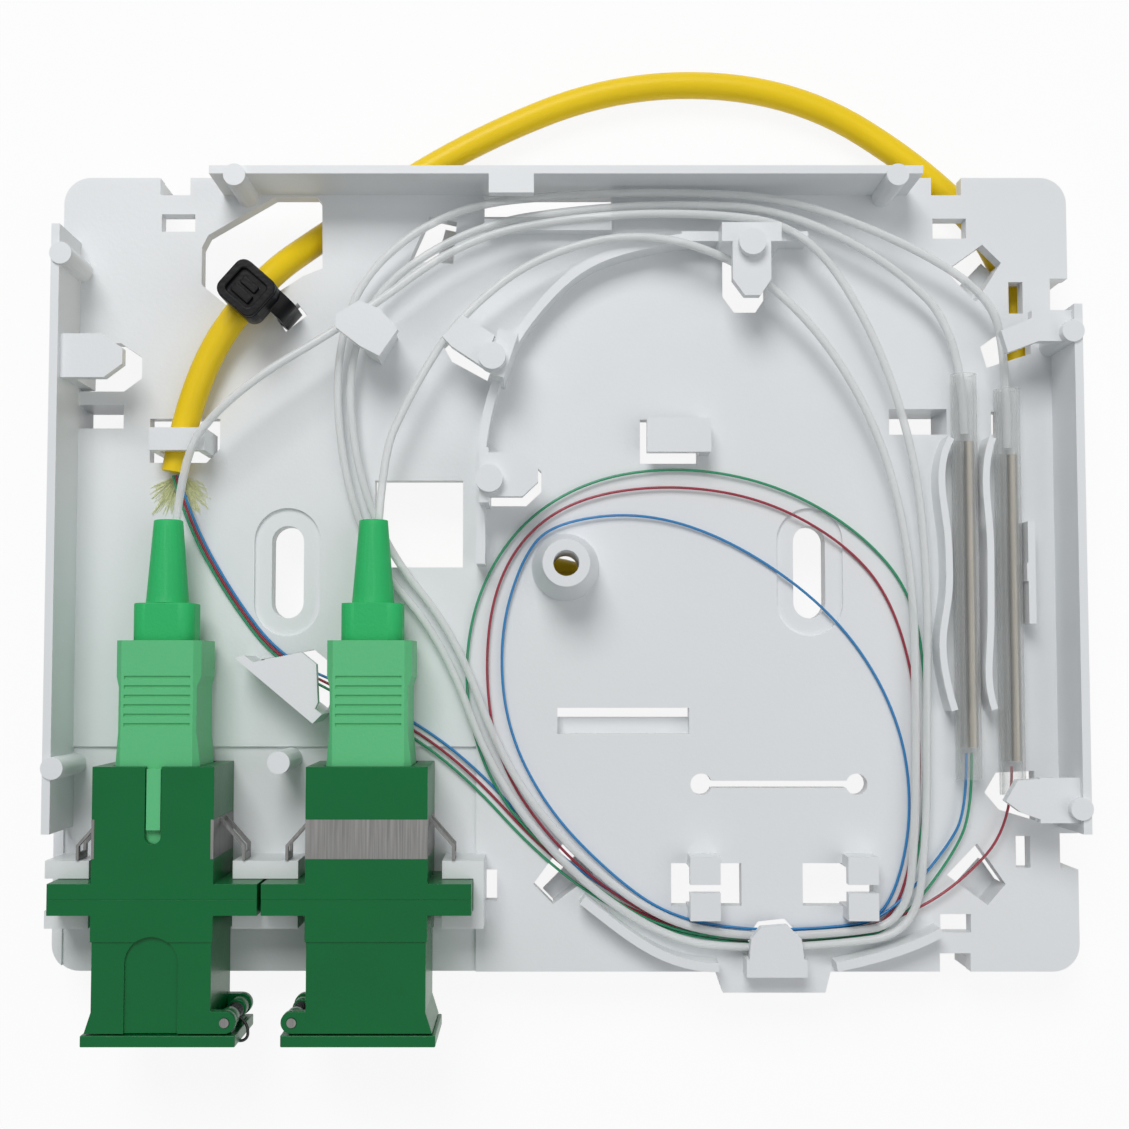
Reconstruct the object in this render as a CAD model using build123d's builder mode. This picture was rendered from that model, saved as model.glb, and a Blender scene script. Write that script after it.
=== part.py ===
"""Open optical splitter box: a wall tray with two shuttered adapters, two angled-polish plugs on
pigtails, two splice sleeves in their holder, and the incoming cable tied down beside them.

Millimetres. The wall is the plane z = 0, +Z points out of the wall, +Y is up, and the origin is the
foot of the cover screw boss's axis on the wall."""

from build123d import *
import math
import os

os.makedirs("parts", exist_ok=True)

# Tray: floor plate, skirt and walls
PLATE_W = 113.8
PLATE_UP = 44.4
PLATE_DOWN = 44.8
CORNER_R = 3.0
FLOOR_TOP = 6.4
FLOOR_T = 1.8
SKIRT_T = 1.2
WALL_H = 7.0
WALL_T = 0.9
WALL_INSET = 1.1
TOP_WALL_HALF = 38.8
SIDE_WALL_LOW = 28.9
LEFT_WALL_HIGH = 36.9
RIGHT_WALL_HIGH = 28.1
NOTCH_W = 3.4
NOTCH_DEPTH = 2.0
EDGE_T = 1.1
DRAWN_HALF = 56.9
MIDDLE_HALF = 20.0
SEAT_GAP = 0.05

X_LEFT = -PLATE_W / 2
X_RIGHT = PLATE_W / 2
Y_TOP = PLATE_UP
Y_LOW = -PLATE_DOWN
FLOOR_LOW = FLOOR_TOP - FLOOR_T
WALL_TOP = FLOOR_TOP + WALL_H

# Cover screw boss and guide posts
BOSS_FOOT_R = 3.8
BOSS_TOP_R = 2.55
BOSS_BORE_R = 1.4
POST_R = 1.2
POST_OVER_WALL = 0.3
POST_TOP = WALL_TOP + POST_OVER_WALL

# Smaller features of the tray
LINK_HOLE_R = 1.2
TIE_WINDOW_LOW = -37.6
TIE_WINDOW_HIGH = -32.9
TIE_HOOK_REACH = 1.9
TIE_HOOK_TOP = 3.2
TIE_HOOK_STEM = 0.2
BRIDGE_SPAN = (-45.7, -39.6)
BRIDGE_POST = 0.9
BRIDGE_ENDS = (12.6, 15.1)
BRIDGE_H = 4.3
CATCH_REACH = 2.3
SNAP_LEDGE_LOW = 1.6
SNAP_LEDGE_T = 1.0
HOLDER_RIB_T = 0.75
HOLDER_BAR = (-4.9, -4.1)
HOLDER_BAR_Y = (-6.4, 4.9)
NUB_Y = (-1.7, 0.3)
NUB_REACH = 0.15

# Wall screw slots
SLOT_SPACING = 58.6
SLOT_OFFSET = -1.9
SLOT_R = 1.8
SLOT_L = 10.4
SLOT_Y = -0.5
RECESS_W = 7.4
RECESS_L = 14.4
RECESS_DEPTH = 0.9
RECESS_RIM = 0.8

# Fibre guides
RIB_T = 1.0
RIB_H = 3.0
TONGUE_T = 1.2
TONGUE_GAP = 0.35
TONGUE_TOP = 6.2

# Adapters: a flange held between two ribs, a body each side of it
ADAPTER_PITCH = 22.4
FLANGE_W = 22.0
ADAPTER_W = 12.8
ADAPTER_H = 9.3
FLANGE_HALF_T = 1.65
BODY_L = 12.2
BORE_W = 9.3
BORE_H = 7.7
BAY_DROP = 0.4
FLANGE_FROM_LOW = 9.35
FIRST_ADAPTER_FROM_LEFT = 13.5
BAY_RIB_T = 1.9
BAY_RIB_H = 6.0
KEY_SLOT_W = 1.7
KEY_SLOT_L = 8.1
BAND_W = 4.1
BAND_AT = 6.3
BAND_T = 0.3
HINGE_R = 0.5
HINGE_SIDE = 1.3
HINGE_BACK = 1.15
EAR_R = 1.15
EAR_T = 1.0
DOOR_T = 1.2
DOOR_GAP = 0.15
DOOR_OVERLAP = 0.9
FLARE = 0.55
FLARE_L = 2.2
RUNNING_GAP = 0.06
GRIP_TRAVEL = 1.8
KEY_END = 13.6

BAY_FLOOR = FLOOR_TOP - BAY_DROP
AXIS_Z = BAY_FLOOR + ADAPTER_H / 2 + SEAT_GAP
FLANGE_Y = Y_LOW + FLANGE_FROM_LOW
BAY_STEP_Y = FLANGE_Y + KEY_END + GRIP_TRAVEL + SEAT_GAP
ADAPTER_X = {
    "left": X_LEFT + FIRST_ADAPTER_FROM_LEFT,
    "right": X_LEFT + FIRST_ADAPTER_FROM_LEFT + ADAPTER_PITCH,
}
KEY_UP = {"left": 1, "right": -1}

# Adapter details: flange holes, arch, clip wings, hinge and spring
BARREL_OUT_R = 1.0
BARREL_SPAN = (1.5, 3.4)
FLANGE_HOLE_R = 1.1
FLANGE_HOLE_X = 8.9
ARCH_W = 5.6
ARCH_L = 10.0
ARCH_DEPTH = 0.3
PORT_STEP = 0.15
PORT_STEP_AT = 4.4
WING_W = 3.0
RAIL_W = 0.6
FOOT_L = 0.8
WING_REACH = 2.5
WING_FROM = 8.2
WING_BEND = 5.2
COIL_R = 0.7
COIL_WIRE = 0.16
COIL_PITCH = 2.4
LEG_START = 0.1
LEG_X = 1.8
LEG_TURN = -1.0
LEG_TIP = -3.0

# Latches and sleeve inside each adapter
HOLDER_T = 1.2
HOLDER_TUBE_R = 2.3
HOLDER_TUBE_L = 6.2
SLEEVE_OUTER_R = 1.6
SLEEVE_T = 0.34
SLEEVE_L = 11.4
SLEEVE_SLIT = 0.4
ARM_X = 3.8
ARM_T = 0.8
ARM_W = 3.0
ARM_L = 7.4
HOOK_L = 0.9
HOOK_IN = 0.35

# Plugs
GRIP_W = 9.0
GRIP_H = 7.4
GRIP_FRONT = 3.45
GRIP_L = 23.7
GRIP_WAIST = 0.35
GRIP_CHAMFER = 0.7
GROOVES = 6
GROOVE_PITCH = 1.0
GROOVE_W = 0.35
GROOVE_DEPTH = 0.2
GROOVE_FIRST = 18.2
FRAME_W = 7.1
FRAME_H = 6.1
FRAME_FRONT = 1.4
FRAME_BACK = 21.0
FRAME_BORE_R = 2.5
FRAME_GAP = 0.1
FERRULE_R = 1.25
FERRULE_L = 10.5
POLISH_DEG = 8.0
LIP_AT = 7.6
LIP_T = 0.5
HUB_R = 2.2
HUB_L = 3.2
STEM_R = 1.1
STEM_END = 18.6
STOP_AT = 17.9
STOP_R = 2.4
STOP_L = 5.8
BARREL_R = 1.9
BARREL_END = 27.0
CRIMP_T = 0.3
CRIMP_L = 3.6
BOOT_COLLAR_W = 6.6
BOOT_COLLAR_H = 5.0
BOOT_COLLAR_AT = 24.0
BOOT_COLLAR_END = 31.2
BOOT_ROOT_R = 2.3
BOOT_TIP_R = 1.55
BOOT_END = 40.3
KEY_W = 1.5
KEY_H = 0.75
KEY_L = 6.4

# Plug details: latch slots, waist, shoulders and spring
LATCH_SLOT_W = 3.8
LATCH_SLOT_END = 8.2
LATCH_RECESS = 2.9
LATCH_RECESS_END = 7.9
SHOULDER = (4.9, 6.2)
SHOULDER_X = 3.26
WAIST = [(13.9, 0.0), (17.4, 1.0), (22.2, 1.0), (23.3, 0.0)]
GROOVE_SPAN = 7.0
FERRULE_START = 0.15
SPRING_R = 1.65
SPRING_WIRE = 0.2
SPRING_TURNS = 6
BORE_GAP = 0.05

# Fibres, splice sleeves, cable and tie
BUFFER_R = 0.45
FIBRE_R = 0.15
RUN_SHARE = 0.45
SPLICE_R = 1.4
SPLICE_T = 0.28
SPLICE_L = 45.0
ROD_R = 0.55
ROD_L = 34.0
MELT_R = 0.4
MELT_X = -0.65
ROD_X = 0.5
ROD_Y = [-3.0, -4.5]
CABLE_R = 1.5
CABLE_LIFT = 0.1
TIE_T = 0.9
TIE_W = 2.4
BOOT_EXIT_Y = 10.0
YARN_T = 0.45
TIE_AT = (-33.51, 30.43)
TIE_ALONG = (0.66, 0.751)
TIE_HALF = 3.3
TIE_LOW = 3.6
TIE_HIGH = 11.1
TIE_HEAD = (5.4, 5.0, 3.0)
TIE_HEAD_AT = (0.4, -1.2)
TIE_CORNER = 1.2


def save(piece, label):
    """Name a finished piece and write it to its own file."""
    piece.part.label = label
    export_step(piece.part, f"parts/{label}.step")


def sides(x0, x1, y0, y1):
    """Corners of a rectangle given by its sides."""
    return [(x0, y0), (x1, y0), (x1, y1), (x0, y1)]


def across(x):
    """Place across the plate: outside the middle it keeps its distance from its own edge."""
    return x + (X_RIGHT - DRAWN_HALF) * max(-1, min(1, x / MIDDLE_HALF))


def span(x0, x1, y0, y1):
    """Corners of a rectangle on the plate, whose sides follow the plate's width."""
    return sides(across(x0), across(x1), y0, y1)


def spread(points):
    """Places on the plate that follow its width."""
    return [(across(x), *rest) for x, *rest in points]


def shapes(outlines, mode=Mode.ADD):
    """Put closed outlines into the sketch at hand."""
    for outline in outlines:
        Polygon(*outline, align=None, mode=mode)


def circles(places, radius, mode=Mode.ADD):
    """Put a circle at each place into the sketch at hand."""
    with Locations(*places):
        Circle(radius, mode=mode)


def inset(points, gap):
    """Pull an outline's points towards its middle by a gap on each side."""
    cx = sum(x for x, _ in points) / len(points)
    cy = sum(y for _, y in points) / len(points)
    return [(x - math.copysign(gap, x - cx), y - math.copysign(gap, y - cy)) for x, y in points]


def seat_plane(side):
    """An adapter's own plane: z along its bore towards the plug, -y towards its key side."""
    return Plane(origin=(ADAPTER_X[side], FLANGE_Y, AXIS_Z), x_dir=(KEY_UP[side], 0, 0), z_dir=(0, 1, 0))


def side_plane(seat, height=0):
    """Plane across the seat's y at a height, with x kept and its own y against the bore's z."""
    return Plane(origin=seat.from_local_coords((0, height, 0)), x_dir=seat.x_dir, z_dir=seat.y_dir)


def tube(points, radius):
    """Round tube along straight runs joined by arcs as large as the runs allow."""
    with BuildPart() as piece:
        with BuildLine() as path:
            FilletPolyline(*points, radius=arc_radii(points))
        with BuildSketch(Plane(origin=path.line @ 0, z_dir=path.line % 0)):
            Circle(radius)
        sweep(path=path.line)
    return piece


def arc_radii(points):
    """Arc at each corner: a share of the shorter run over the tangent of half the turn."""
    corners = [Vector(*point) for point in points]
    radii = []
    for before, here, after in zip(corners, corners[1:], corners[2:]):
        turn = (here - before).get_angle(after - here)
        shorter = min((here - before).length, (after - here).length)
        radii.append(RUN_SHARE * shorter / math.tan(math.radians(turn) / 2))
    return radii


def coil(plane, radius, wire, length, pitch):
    """Round wire wound about the plane's axis."""
    with BuildPart() as piece:
        with BuildLine() as path:
            Helix(pitch=pitch, height=length, radius=radius)
        with BuildSketch(Plane(origin=path.line @ 0, z_dir=path.line % 0)):
            Circle(wire)
        sweep(path=path.line)
    return plane.location * piece.part


def report(label, piece, points, radius):
    """Print a tube's arcs, and its volume against its section times its length."""
    with BuildLine() as path:
        FilletPolyline(*points, radius=arc_radii(points))
    section = math.pi * radius ** 2 * sum(edge.length for edge in path.edges())
    print(label, "radii", [round(r, 1) for r in arc_radii(points)],
          "volume", round(piece.part.volume, 1), "section x length", round(section, 1))


# Places that belong to an edge of the plate move with that edge
LEFT_WALL_X = X_LEFT + WALL_INSET
RIGHT_WALL_X = X_RIGHT - WALL_INSET
TOP_WALL_Y = Y_TOP - WALL_INSET

HEX_OPENING = spread([(-41.2, 36.4), (-40.5, 37.8), (-33.0, 42.2), (-28.2, 42.2), (-27.6, 41.5),
                      (-27.5, 34.0), (-29.7, 33.1), (-32.6, 31.2), (-38.3, 29.7), (-41.2, 32.1)])
TIE_SLOT = spread([(-30.3, 30.0), (-29.2, 28.6), (-31.6, 26.7), (-32.6, 28.1)])
CLIP_OPENING = spread([(-46.8, 16.8), (-38.9, 16.8), (-38.9, 13.4), (-40.4, 11.8), (-46.8, 11.8)])
SQUARE_HOLE = spread([(-21.4, 9.8), (-11.5, 9.8), (-11.5, 0.0), (-21.4, 0.0)])
NAME_SLOT = spread([(-0.9, -15.7), (13.8, -15.7), (13.8, -18.6), (-0.9, -18.6)])
LINK_SLOT = spread([(15.1, -23.8), (32.4, -23.8), (32.4, -24.6), (15.1, -24.6)])
WINDOW_SMALL = spread([(-9.4, -33.6), (-7.6, -33.6), (-7.6, -37.0), (-9.4, -37.0)])
TIE_WINDOWS = spread([(11.7, 7.8), (26.3, 7.8)])
TIE_HOOKS = spread([(13.5, 3.3), (30.7, 3.3)])

SNAP_WINDOWS = [
    spread([(-15.4, 40.0), (-12.3, 39.3), (-12.7, 34.5), (-17.7, 34.8)]),
    spread([(47.3, 36.7), (49.4, 34.6), (46.5, 30.1), (43.1, 33.7)]),
    spread([(-0.2, -30.6), (3.1, -34.1), (-1.4, -37.4), (-3.6, -35.2)]),
    spread([(45.7, -30.7), (48.8, -35.2), (46.8, -37.5), (42.3, -34.2)]),
]

WALL_TONGUE_LEFT = [(LEFT_WALL_X, 25.4), (LEFT_WALL_X, 19.9)] + spread(
    [(-49.8, 19.9), (-47.8, 21.4), (-47.8, 23.8), (-50.2, 25.4)])
TONGUE_UP = spread([(17.8, 35.6), (17.8, 30.7), (19.1, 28.9), (21.5, 28.9), (22.7, 30.7), (22.7, 35.6)])
TONGUE_SLANT = spread([(-11.6, 27.4), (-13.8, 25.1), (-12.8, 23.3), (-8.8, 21.1), (-7.4, 25.2)])
TONGUE_SIDE = spread([(-8.8, 12.4), (-4.3, 12.4), (-2.7, 10.8), (-2.7, 8.5), (-4.4, 6.9), (-8.8, 6.9)])
TONGUE_TOP_EDGE = spread([(-9.2, 42.2), (-9.2, 39.9), (5.3, 39.9), (5.3, 42.2)])
TONGUE_HIGH_RIGHT = spread([(52.6, 27.9), (49.0, 26.5), (46.9, 25.0), (47.6, 22.6), (52.6, 24.2)])
RIGHT_TONGUE_FEET = [(24.2, 27.6), (-27.8, -23.0)]
TONGUE_LOW_RIGHT = spread([(52.2, -22.7), (47.9, -22.9), (46.6, -25.1), (48.2, -27.0), (52.2, -28.2)])
TONGUE_LOW = spread([(20.0, -42.6), (20.3, -40.7), (21.3, -39.3), (24.2, -39.0), (25.8, -40.7),
                     (26.0, -42.6)])
TRIANGLE = spread([(-35.0, -10.5), (-28.1, -9.2), (-26.5, -10.5), (-26.3, -15.3), (-26.8, -16.4)])
HOOK_OPENING = spread([(8.4, 16.7), (14.9, 16.7), (14.9, 11.7), (8.4, 11.7)])

MAIN_RIB = spread([(-9.4, 0.2), (-9.4, 6.0), (-9.4, 11.8), (-7.9, 19.8), (-6.0, 24.4), (-3.1, 28.6),
                   (1.8, 33.2), (8.3, 35.7), (13.5, 36.6)])
LOW_RIB = spread([(1.8, -36.5), (6.1, -39.8), (9.8, -42.1), (14.6, -43.6), (16.6, Y_LOW + EDGE_T)])
LOW_RIB_RIGHT = spread([(29.4, Y_LOW + EDGE_T), (32.1, -43.1), (36.6, -41.8), (40.9, -39.9)])

POSTS = [
    (across(-36.0), TOP_WALL_Y - EDGE_T), (across(36.0), TOP_WALL_Y - EDGE_T),
    (LEFT_WALL_X + EDGE_T, 33.6),
    (RIGHT_WALL_X - EDGE_T, 25.1), (RIGHT_WALL_X - EDGE_T, -26.2),
    (LEFT_WALL_X + EDGE_T, -21.9), (across(-30.6), -21.3),
]

# Splice holder, measured from the right wall
SPLICE_X = [RIGHT_WALL_X - 11.3, RIGHT_WALL_X - 6.5]
SPLICE_Y = [-1.0, -2.7]
HOLDER_LEFT = [(-13.2, 14.2), (-14.3, 9.2), (-13.7, 3.5), (-13.6, 1.0), (-13.7, -3.2),
               (-14.4, -8.1), (-14.0, -12.7), (-13.2, -15.9)]
HOLDER_MIDDLE = [(-8.6, 14.2), (-9.4, 9.2), (-9.05, 3.5), (-9.05, -1.3), (-9.2, -8.1),
                 (-9.4, -12.7), (-8.8, -15.8)]

plate_middle = (0, (Y_TOP + Y_LOW) / 2)
plate_height = Y_TOP - Y_LOW
bay_right = ADAPTER_X["right"] + FLANGE_W / 2 + SEAT_GAP
bay = sides(LEFT_WALL_X, bay_right, Y_LOW, BAY_STEP_Y)
slot_places = [(SLOT_OFFSET + side * SLOT_SPACING / 2, SLOT_Y) for side in (-1, 1)]
link_y = (LINK_SLOT[0][1] + LINK_SLOT[2][1]) / 2
link_ends = [(LINK_SLOT[0][0], link_y), (LINK_SLOT[1][0], link_y)]
tongue_openings = [WALL_TONGUE_LEFT, TONGUE_UP, TONGUE_SLANT, TONGUE_SIDE, TONGUE_TOP_EDGE,
                   TONGUE_HIGH_RIGHT, TONGUE_LOW_RIGHT, TONGUE_LOW, TRIANGLE, HOOK_OPENING]
notches = [
    span(-46.0, -46.0 + NOTCH_W, Y_TOP - NOTCH_DEPTH, Y_TOP),
    span(41.6, 41.6 + NOTCH_W, Y_TOP - NOTCH_DEPTH, Y_TOP),
    span(41.4, 41.4 + NOTCH_W, Y_LOW, Y_LOW + NOTCH_DEPTH),
    sides(X_RIGHT - NOTCH_DEPTH, X_RIGHT, 28.5, 32.8),
    sides(X_RIGHT - NOTCH_DEPTH, X_RIGHT, -33.6, -29.6),
]
windows = [
    span(-45.8, -42.0, 38.2, 40.2), span(41.7, 45.5, 37.4, 39.7), span(50.2, 51.8, 28.8, 32.4),
    span(50.0, 51.6, -33.4, -29.9), span(41.5, 44.9, -40.5, -38.5), span(48.0, 48.8, 15.0, 17.6),
]
pockets = [(across(-55.3), across(-49.8), 15.7, 18.4), (across(36.5), across(43.0), 15.0, 17.9)]
pocket_walls = [sides(x0 - EDGE_T, x1 + EDGE_T, y0 - EDGE_T, y1 + EDGE_T) for x0, x1, y0, y1 in pockets]
pocket_holes = [sides(*pocket) for pocket in pockets]
tie_windows = [sides(x, x + width, TIE_WINDOW_LOW, TIE_WINDOW_HIGH) for x, width in TIE_WINDOWS]
skirt_runs = [
    sides(X_LEFT, X_LEFT + SKIRT_T, Y_LOW + CORNER_R, Y_TOP - CORNER_R),
    sides(X_LEFT + CORNER_R, across(16.0), Y_LOW, Y_LOW + SKIRT_T),
    sides(across(29.6), X_RIGHT - 15.4, Y_LOW, Y_LOW + SKIRT_T),
    sides(X_RIGHT - SKIRT_T, X_RIGHT, -SIDE_WALL_LOW, RIGHT_WALL_HIGH),
    sides(X_LEFT + CORNER_R, X_LEFT + 10.8, Y_TOP - SKIRT_T, Y_TOP),
    sides(X_RIGHT - 7.5, X_RIGHT - CORNER_R, Y_TOP - SKIRT_T, Y_TOP),
    sides(X_RIGHT - SKIRT_T, X_RIGHT, 33.0, Y_TOP - CORNER_R),
    sides(X_RIGHT - SKIRT_T, X_RIGHT, Y_LOW + CORNER_R, -33.6),
    sides(X_RIGHT - 12.0, X_RIGHT - CORNER_R, Y_LOW, Y_LOW + SKIRT_T),
]
skirt_corners = [
    (X_LEFT + CORNER_R, Y_LOW + CORNER_R, 180), (X_LEFT + CORNER_R, Y_TOP - CORNER_R, 90),
    (X_RIGHT - CORNER_R, Y_TOP - CORNER_R, 0), (X_RIGHT - CORNER_R, Y_LOW + CORNER_R, 270),
]

# Ribs of the adapter bay: two rows with the flanges between them
rib_front = FLANGE_Y + FLANGE_HALF_T + SEAT_GAP
rib_back = FLANGE_Y - FLANGE_HALF_T - SEAT_GAP
body_side = ADAPTER_W / 2 + HINGE_SIDE
bay_spans = [
    (LEFT_WALL_X, ADAPTER_X["left"] - body_side),
    (ADAPTER_X["left"] + body_side, ADAPTER_X["right"] - body_side),
    (ADAPTER_X["right"] + body_side, bay_right + EDGE_T),
]
bay_ribs = [sides(x0, x1, y0, y1) for x0, x1 in bay_spans
            for y0, y1 in ((rib_front, rib_front + BAY_RIB_T), (rib_back - BAY_RIB_T, rib_back))]
bay_ribs.append(sides(bay_right, bay_right + EDGE_T, rib_back - BAY_RIB_T, rib_front + BAY_RIB_T))

# Snap windows: a ledge hangs under one half of each, on a web along its far side
snap_ledges = []
snap_webs = []
for a, b, c, d in SNAP_WINDOWS:
    half_ab = ((a[0] + b[0]) / 2, (a[1] + b[1]) / 2)
    half_cd = ((c[0] + d[0]) / 2, (c[1] + d[1]) / 2)
    out = ((b[0] - a[0]) / 4, (b[1] - a[1]) / 4)
    far_b = (b[0] + out[0], b[1] + out[1])
    far_c = (c[0] + out[0], c[1] + out[1])
    snap_ledges.append([half_ab, far_b, far_c, half_cd])
    snap_webs.append([b, far_b, far_c, c])

with BuildPart() as base_tray:
    # Skirt under the edge and the walls of the deep pockets, down to the wall plane
    with BuildSketch():
        shapes(skirt_runs + pocket_walls)
        for cx, cy, start in skirt_corners:
            with BuildLine() as corner:
                CenterArc((cx, cy), CORNER_R - SKIRT_T / 2, start, 90)
            trace(corner.line, line_width=SKIRT_T)
        shapes(pocket_holes, Mode.SUBTRACT)
    extrude(amount=FLOOR_LOW)
    with BuildSketch(Plane.XY.offset(SNAP_LEDGE_LOW)):
        shapes(snap_webs)
    extrude(amount=FLOOR_LOW - SNAP_LEDGE_LOW)
    with BuildSketch(Plane.XY.offset(SNAP_LEDGE_LOW)):
        shapes(snap_ledges)
    extrude(amount=SNAP_LEDGE_T)
    # Thickened floor round the wall slots, under the bay and along the name slot's low half
    with BuildSketch(Plane.XY.offset(FLOOR_LOW - RECESS_DEPTH)):
        with Locations(*slot_places):
            SlotOverall(RECESS_L + 2 * RECESS_RIM, RECESS_W + 2 * RECESS_RIM, rotation=90)
        shapes([bay, span(-1.7, 14.6, -19.8, -16.8)])
        with Locations(*slot_places):
            SlotOverall(SLOT_L, 2 * SLOT_R, rotation=90, mode=Mode.SUBTRACT)
        shapes([WINDOW_SMALL], Mode.SUBTRACT)
    extrude(amount=RECESS_DEPTH)

    # Floor plate with its edge notches and openings
    with BuildSketch(Plane.XY.offset(FLOOR_LOW)):
        with Locations(plate_middle):
            RectangleRounded(PLATE_W, plate_height, CORNER_R)
        shapes([spread([(16.6, Y_LOW + EDGE_T), (16.6, Y_LOW), (17.4, Y_LOW - CATCH_REACH),
                        (28.7, Y_LOW - CATCH_REACH), (29.3, Y_LOW), (29.3, Y_LOW + EDGE_T)])])
        shapes(notches + windows + pocket_holes + tongue_openings + tie_windows, Mode.SUBTRACT)
        shapes(SNAP_WINDOWS, Mode.SUBTRACT)
        shapes([HEX_OPENING, TIE_SLOT, CLIP_OPENING, SQUARE_HOLE, NAME_SLOT, LINK_SLOT, WINDOW_SMALL],
               Mode.SUBTRACT)
        circles(link_ends, LINK_HOLE_R, Mode.SUBTRACT)
        circles([(0, 0)], BOSS_BORE_R, Mode.SUBTRACT)
        with Locations(*slot_places):
            SlotOverall(SLOT_L, 2 * SLOT_R, rotation=90, mode=Mode.SUBTRACT)
    extrude(amount=FLOOR_T)
    with BuildSketch(Plane.XY.offset(BAY_FLOOR)):
        shapes([bay])
        with Locations(*slot_places):
            SlotOverall(RECESS_L, RECESS_W, rotation=90)
    extrude(amount=FLOOR_TOP - BAY_FLOOR, mode=Mode.SUBTRACT)

    # Walls, open at the low side, with the guide posts and the stems that reach their full height
    with BuildSketch(Plane.XY.offset(FLOOR_LOW)):
        shapes([
            span(-TOP_WALL_HALF, TOP_WALL_HALF, TOP_WALL_Y - WALL_T, TOP_WALL_Y),
            sides(LEFT_WALL_X, LEFT_WALL_X + WALL_T, -SIDE_WALL_LOW, LEFT_WALL_HIGH),
            sides(RIGHT_WALL_X - WALL_T, RIGHT_WALL_X, -SIDE_WALL_LOW, RIGHT_WALL_HIGH),
        ])
    extrude(amount=WALL_H + FLOOR_T)
    with BuildSketch(Plane.XY.offset(FLOOR_LOW)):
        circles(POSTS, POST_R)
    extrude(amount=POST_TOP - FLOOR_LOW)

    # Ribs of the adapter bay
    with BuildSketch(Plane.XY.offset(FLOOR_LOW)):
        shapes(bay_ribs)
    extrude(amount=BAY_FLOOR + BAY_RIB_H - FLOOR_LOW)

    # Cover screw boss, standing on the floor
    with BuildSketch(Plane.XY.offset(FLOOR_TOP)):
        Circle(BOSS_FOOT_R)
    with BuildSketch(Plane.XY.offset(WALL_TOP)):
        Circle(BOSS_TOP_R)
    loft()
    with Locations((0, 0, WALL_TOP)):
        Hole(BOSS_BORE_R, WALL_H)

    # Guide ribs round the fibre loop, and the splice holder
    with BuildSketch(Plane.XY.offset(FLOOR_TOP)):
        for line in (MAIN_RIB, LOW_RIB, LOW_RIB_RIGHT):
            with BuildLine() as guide:
                Spline(*line)
            trace(guide.line, line_width=RIB_T)
        for line in (HOLDER_LEFT, HOLDER_MIDDLE):
            with BuildLine() as guide:
                Spline(*[(RIGHT_WALL_X + x, y) for x, y in line])
            trace(guide.line, line_width=HOLDER_RIB_T)
        shapes([
            span(12.9, 27.0, 36.2, 37.3), span(14.9, 16.1, 12.6, 16.4),
            sides(RIGHT_WALL_X + HOLDER_BAR[0], RIGHT_WALL_X + HOLDER_BAR[1], *HOLDER_BAR_Y),
            sides(RIGHT_WALL_X + HOLDER_BAR[0] - NUB_REACH, RIGHT_WALL_X + HOLDER_BAR[1], *NUB_Y),
        ])
    extrude(amount=RIB_H)
    with BuildSketch(Plane.XY.offset(FLOOR_TOP)):
        shapes([span(-9.1, 5.2, 37.9, 39.2)])
    extrude(amount=RIB_H / 2)

    # Retaining tongues over the openings that moulded them, each on its own stem
    with BuildSketch(Plane.XY.offset(FLOOR_TOP + TONGUE_TOP - TONGUE_T)):
        shapes([inset(outline, TONGUE_GAP) for outline in
                (TONGUE_UP, TONGUE_SLANT, TONGUE_SIDE, TRIANGLE, WALL_TONGUE_LEFT,
                 TONGUE_HIGH_RIGHT, TONGUE_LOW_RIGHT)])
        shapes([sides(across(50.6), RIGHT_WALL_X, y0, y1) for y0, y1 in RIGHT_TONGUE_FEET])
    extrude(amount=TONGUE_T)
    with BuildSketch(Plane.XY.offset(FLOOR_LOW)):
        shapes([
            span(17.0, 23.5, 35.2, 37.3), span(-9.4, -8.4, 6.6, 12.6),
            spread([(-8.2, 20.6), (-6.8, 20.2), (-5.2, 25.0), (-7.4, 25.6)]),
            spread([(-35.6, -10.2), (-34.6, -9.9), (-26.2, -16.2), (-27.2, -17.2)]),
            sides(LEFT_WALL_X, LEFT_WALL_X + 2.2, 20.3, 25.0),
        ])
    extrude(amount=FLOOR_T + TONGUE_TOP)
    with BuildSketch(Plane.XY.offset(FLOOR_TOP + TONGUE_TOP - TONGUE_T)):
        circles(spread([(20.2, 34.9), (-8.0, 22.4), (-8.3, 9.1)]), POST_R + EDGE_T / 4)
    extrude(amount=POST_TOP - FLOOR_TOP - TONGUE_TOP + TONGUE_T)

    # Top plates at wall height: the top wall's tongue and the slanted hook over the pigtails
    with BuildSketch(Plane.XY.offset(WALL_TOP - TONGUE_T)):
        shapes([span(-8.4, -3.5, 40.3, TOP_WALL_Y),
                spread([(-24.9, 26.9), (-22.4, 28.5), (-20.1, 27.5), (-18.2, 25.3), (-20.2, 22.4),
                        (-22.3, 23.5), (-25.0, 25.6)])])
    extrude(amount=TONGUE_T)
    with BuildSketch(Plane.XY.offset(FLOOR_LOW)):
        shapes([spread([(-20.9, 27.5), (-18.9, 26.0), (-20.7, 22.9), (-22.3, 23.9)])])
    extrude(amount=FLOOR_T + WALL_H)

    # Hook over the loop's middle, and the low catch's wall with its tongue over the fibres
    with BuildSketch(Plane.XY.offset(FLOOR_TOP + RIB_H - TONGUE_T)):
        shapes([span(9.0, 16.1, 12.6, 16.4),
                spread([(19.9, -43.2), (20.1, -40.7), (21.2, -39.4), (24.1, -39.2), (25.6, -40.7),
                        (25.9, -43.2)])])
    extrude(amount=TONGUE_T)
    with BuildSketch(Plane.XY.offset(FLOOR_LOW)):
        shapes([span(19.6, 26.2, Y_LOW, -42.9)])
    extrude(amount=FLOOR_T + RIB_H)

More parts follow.
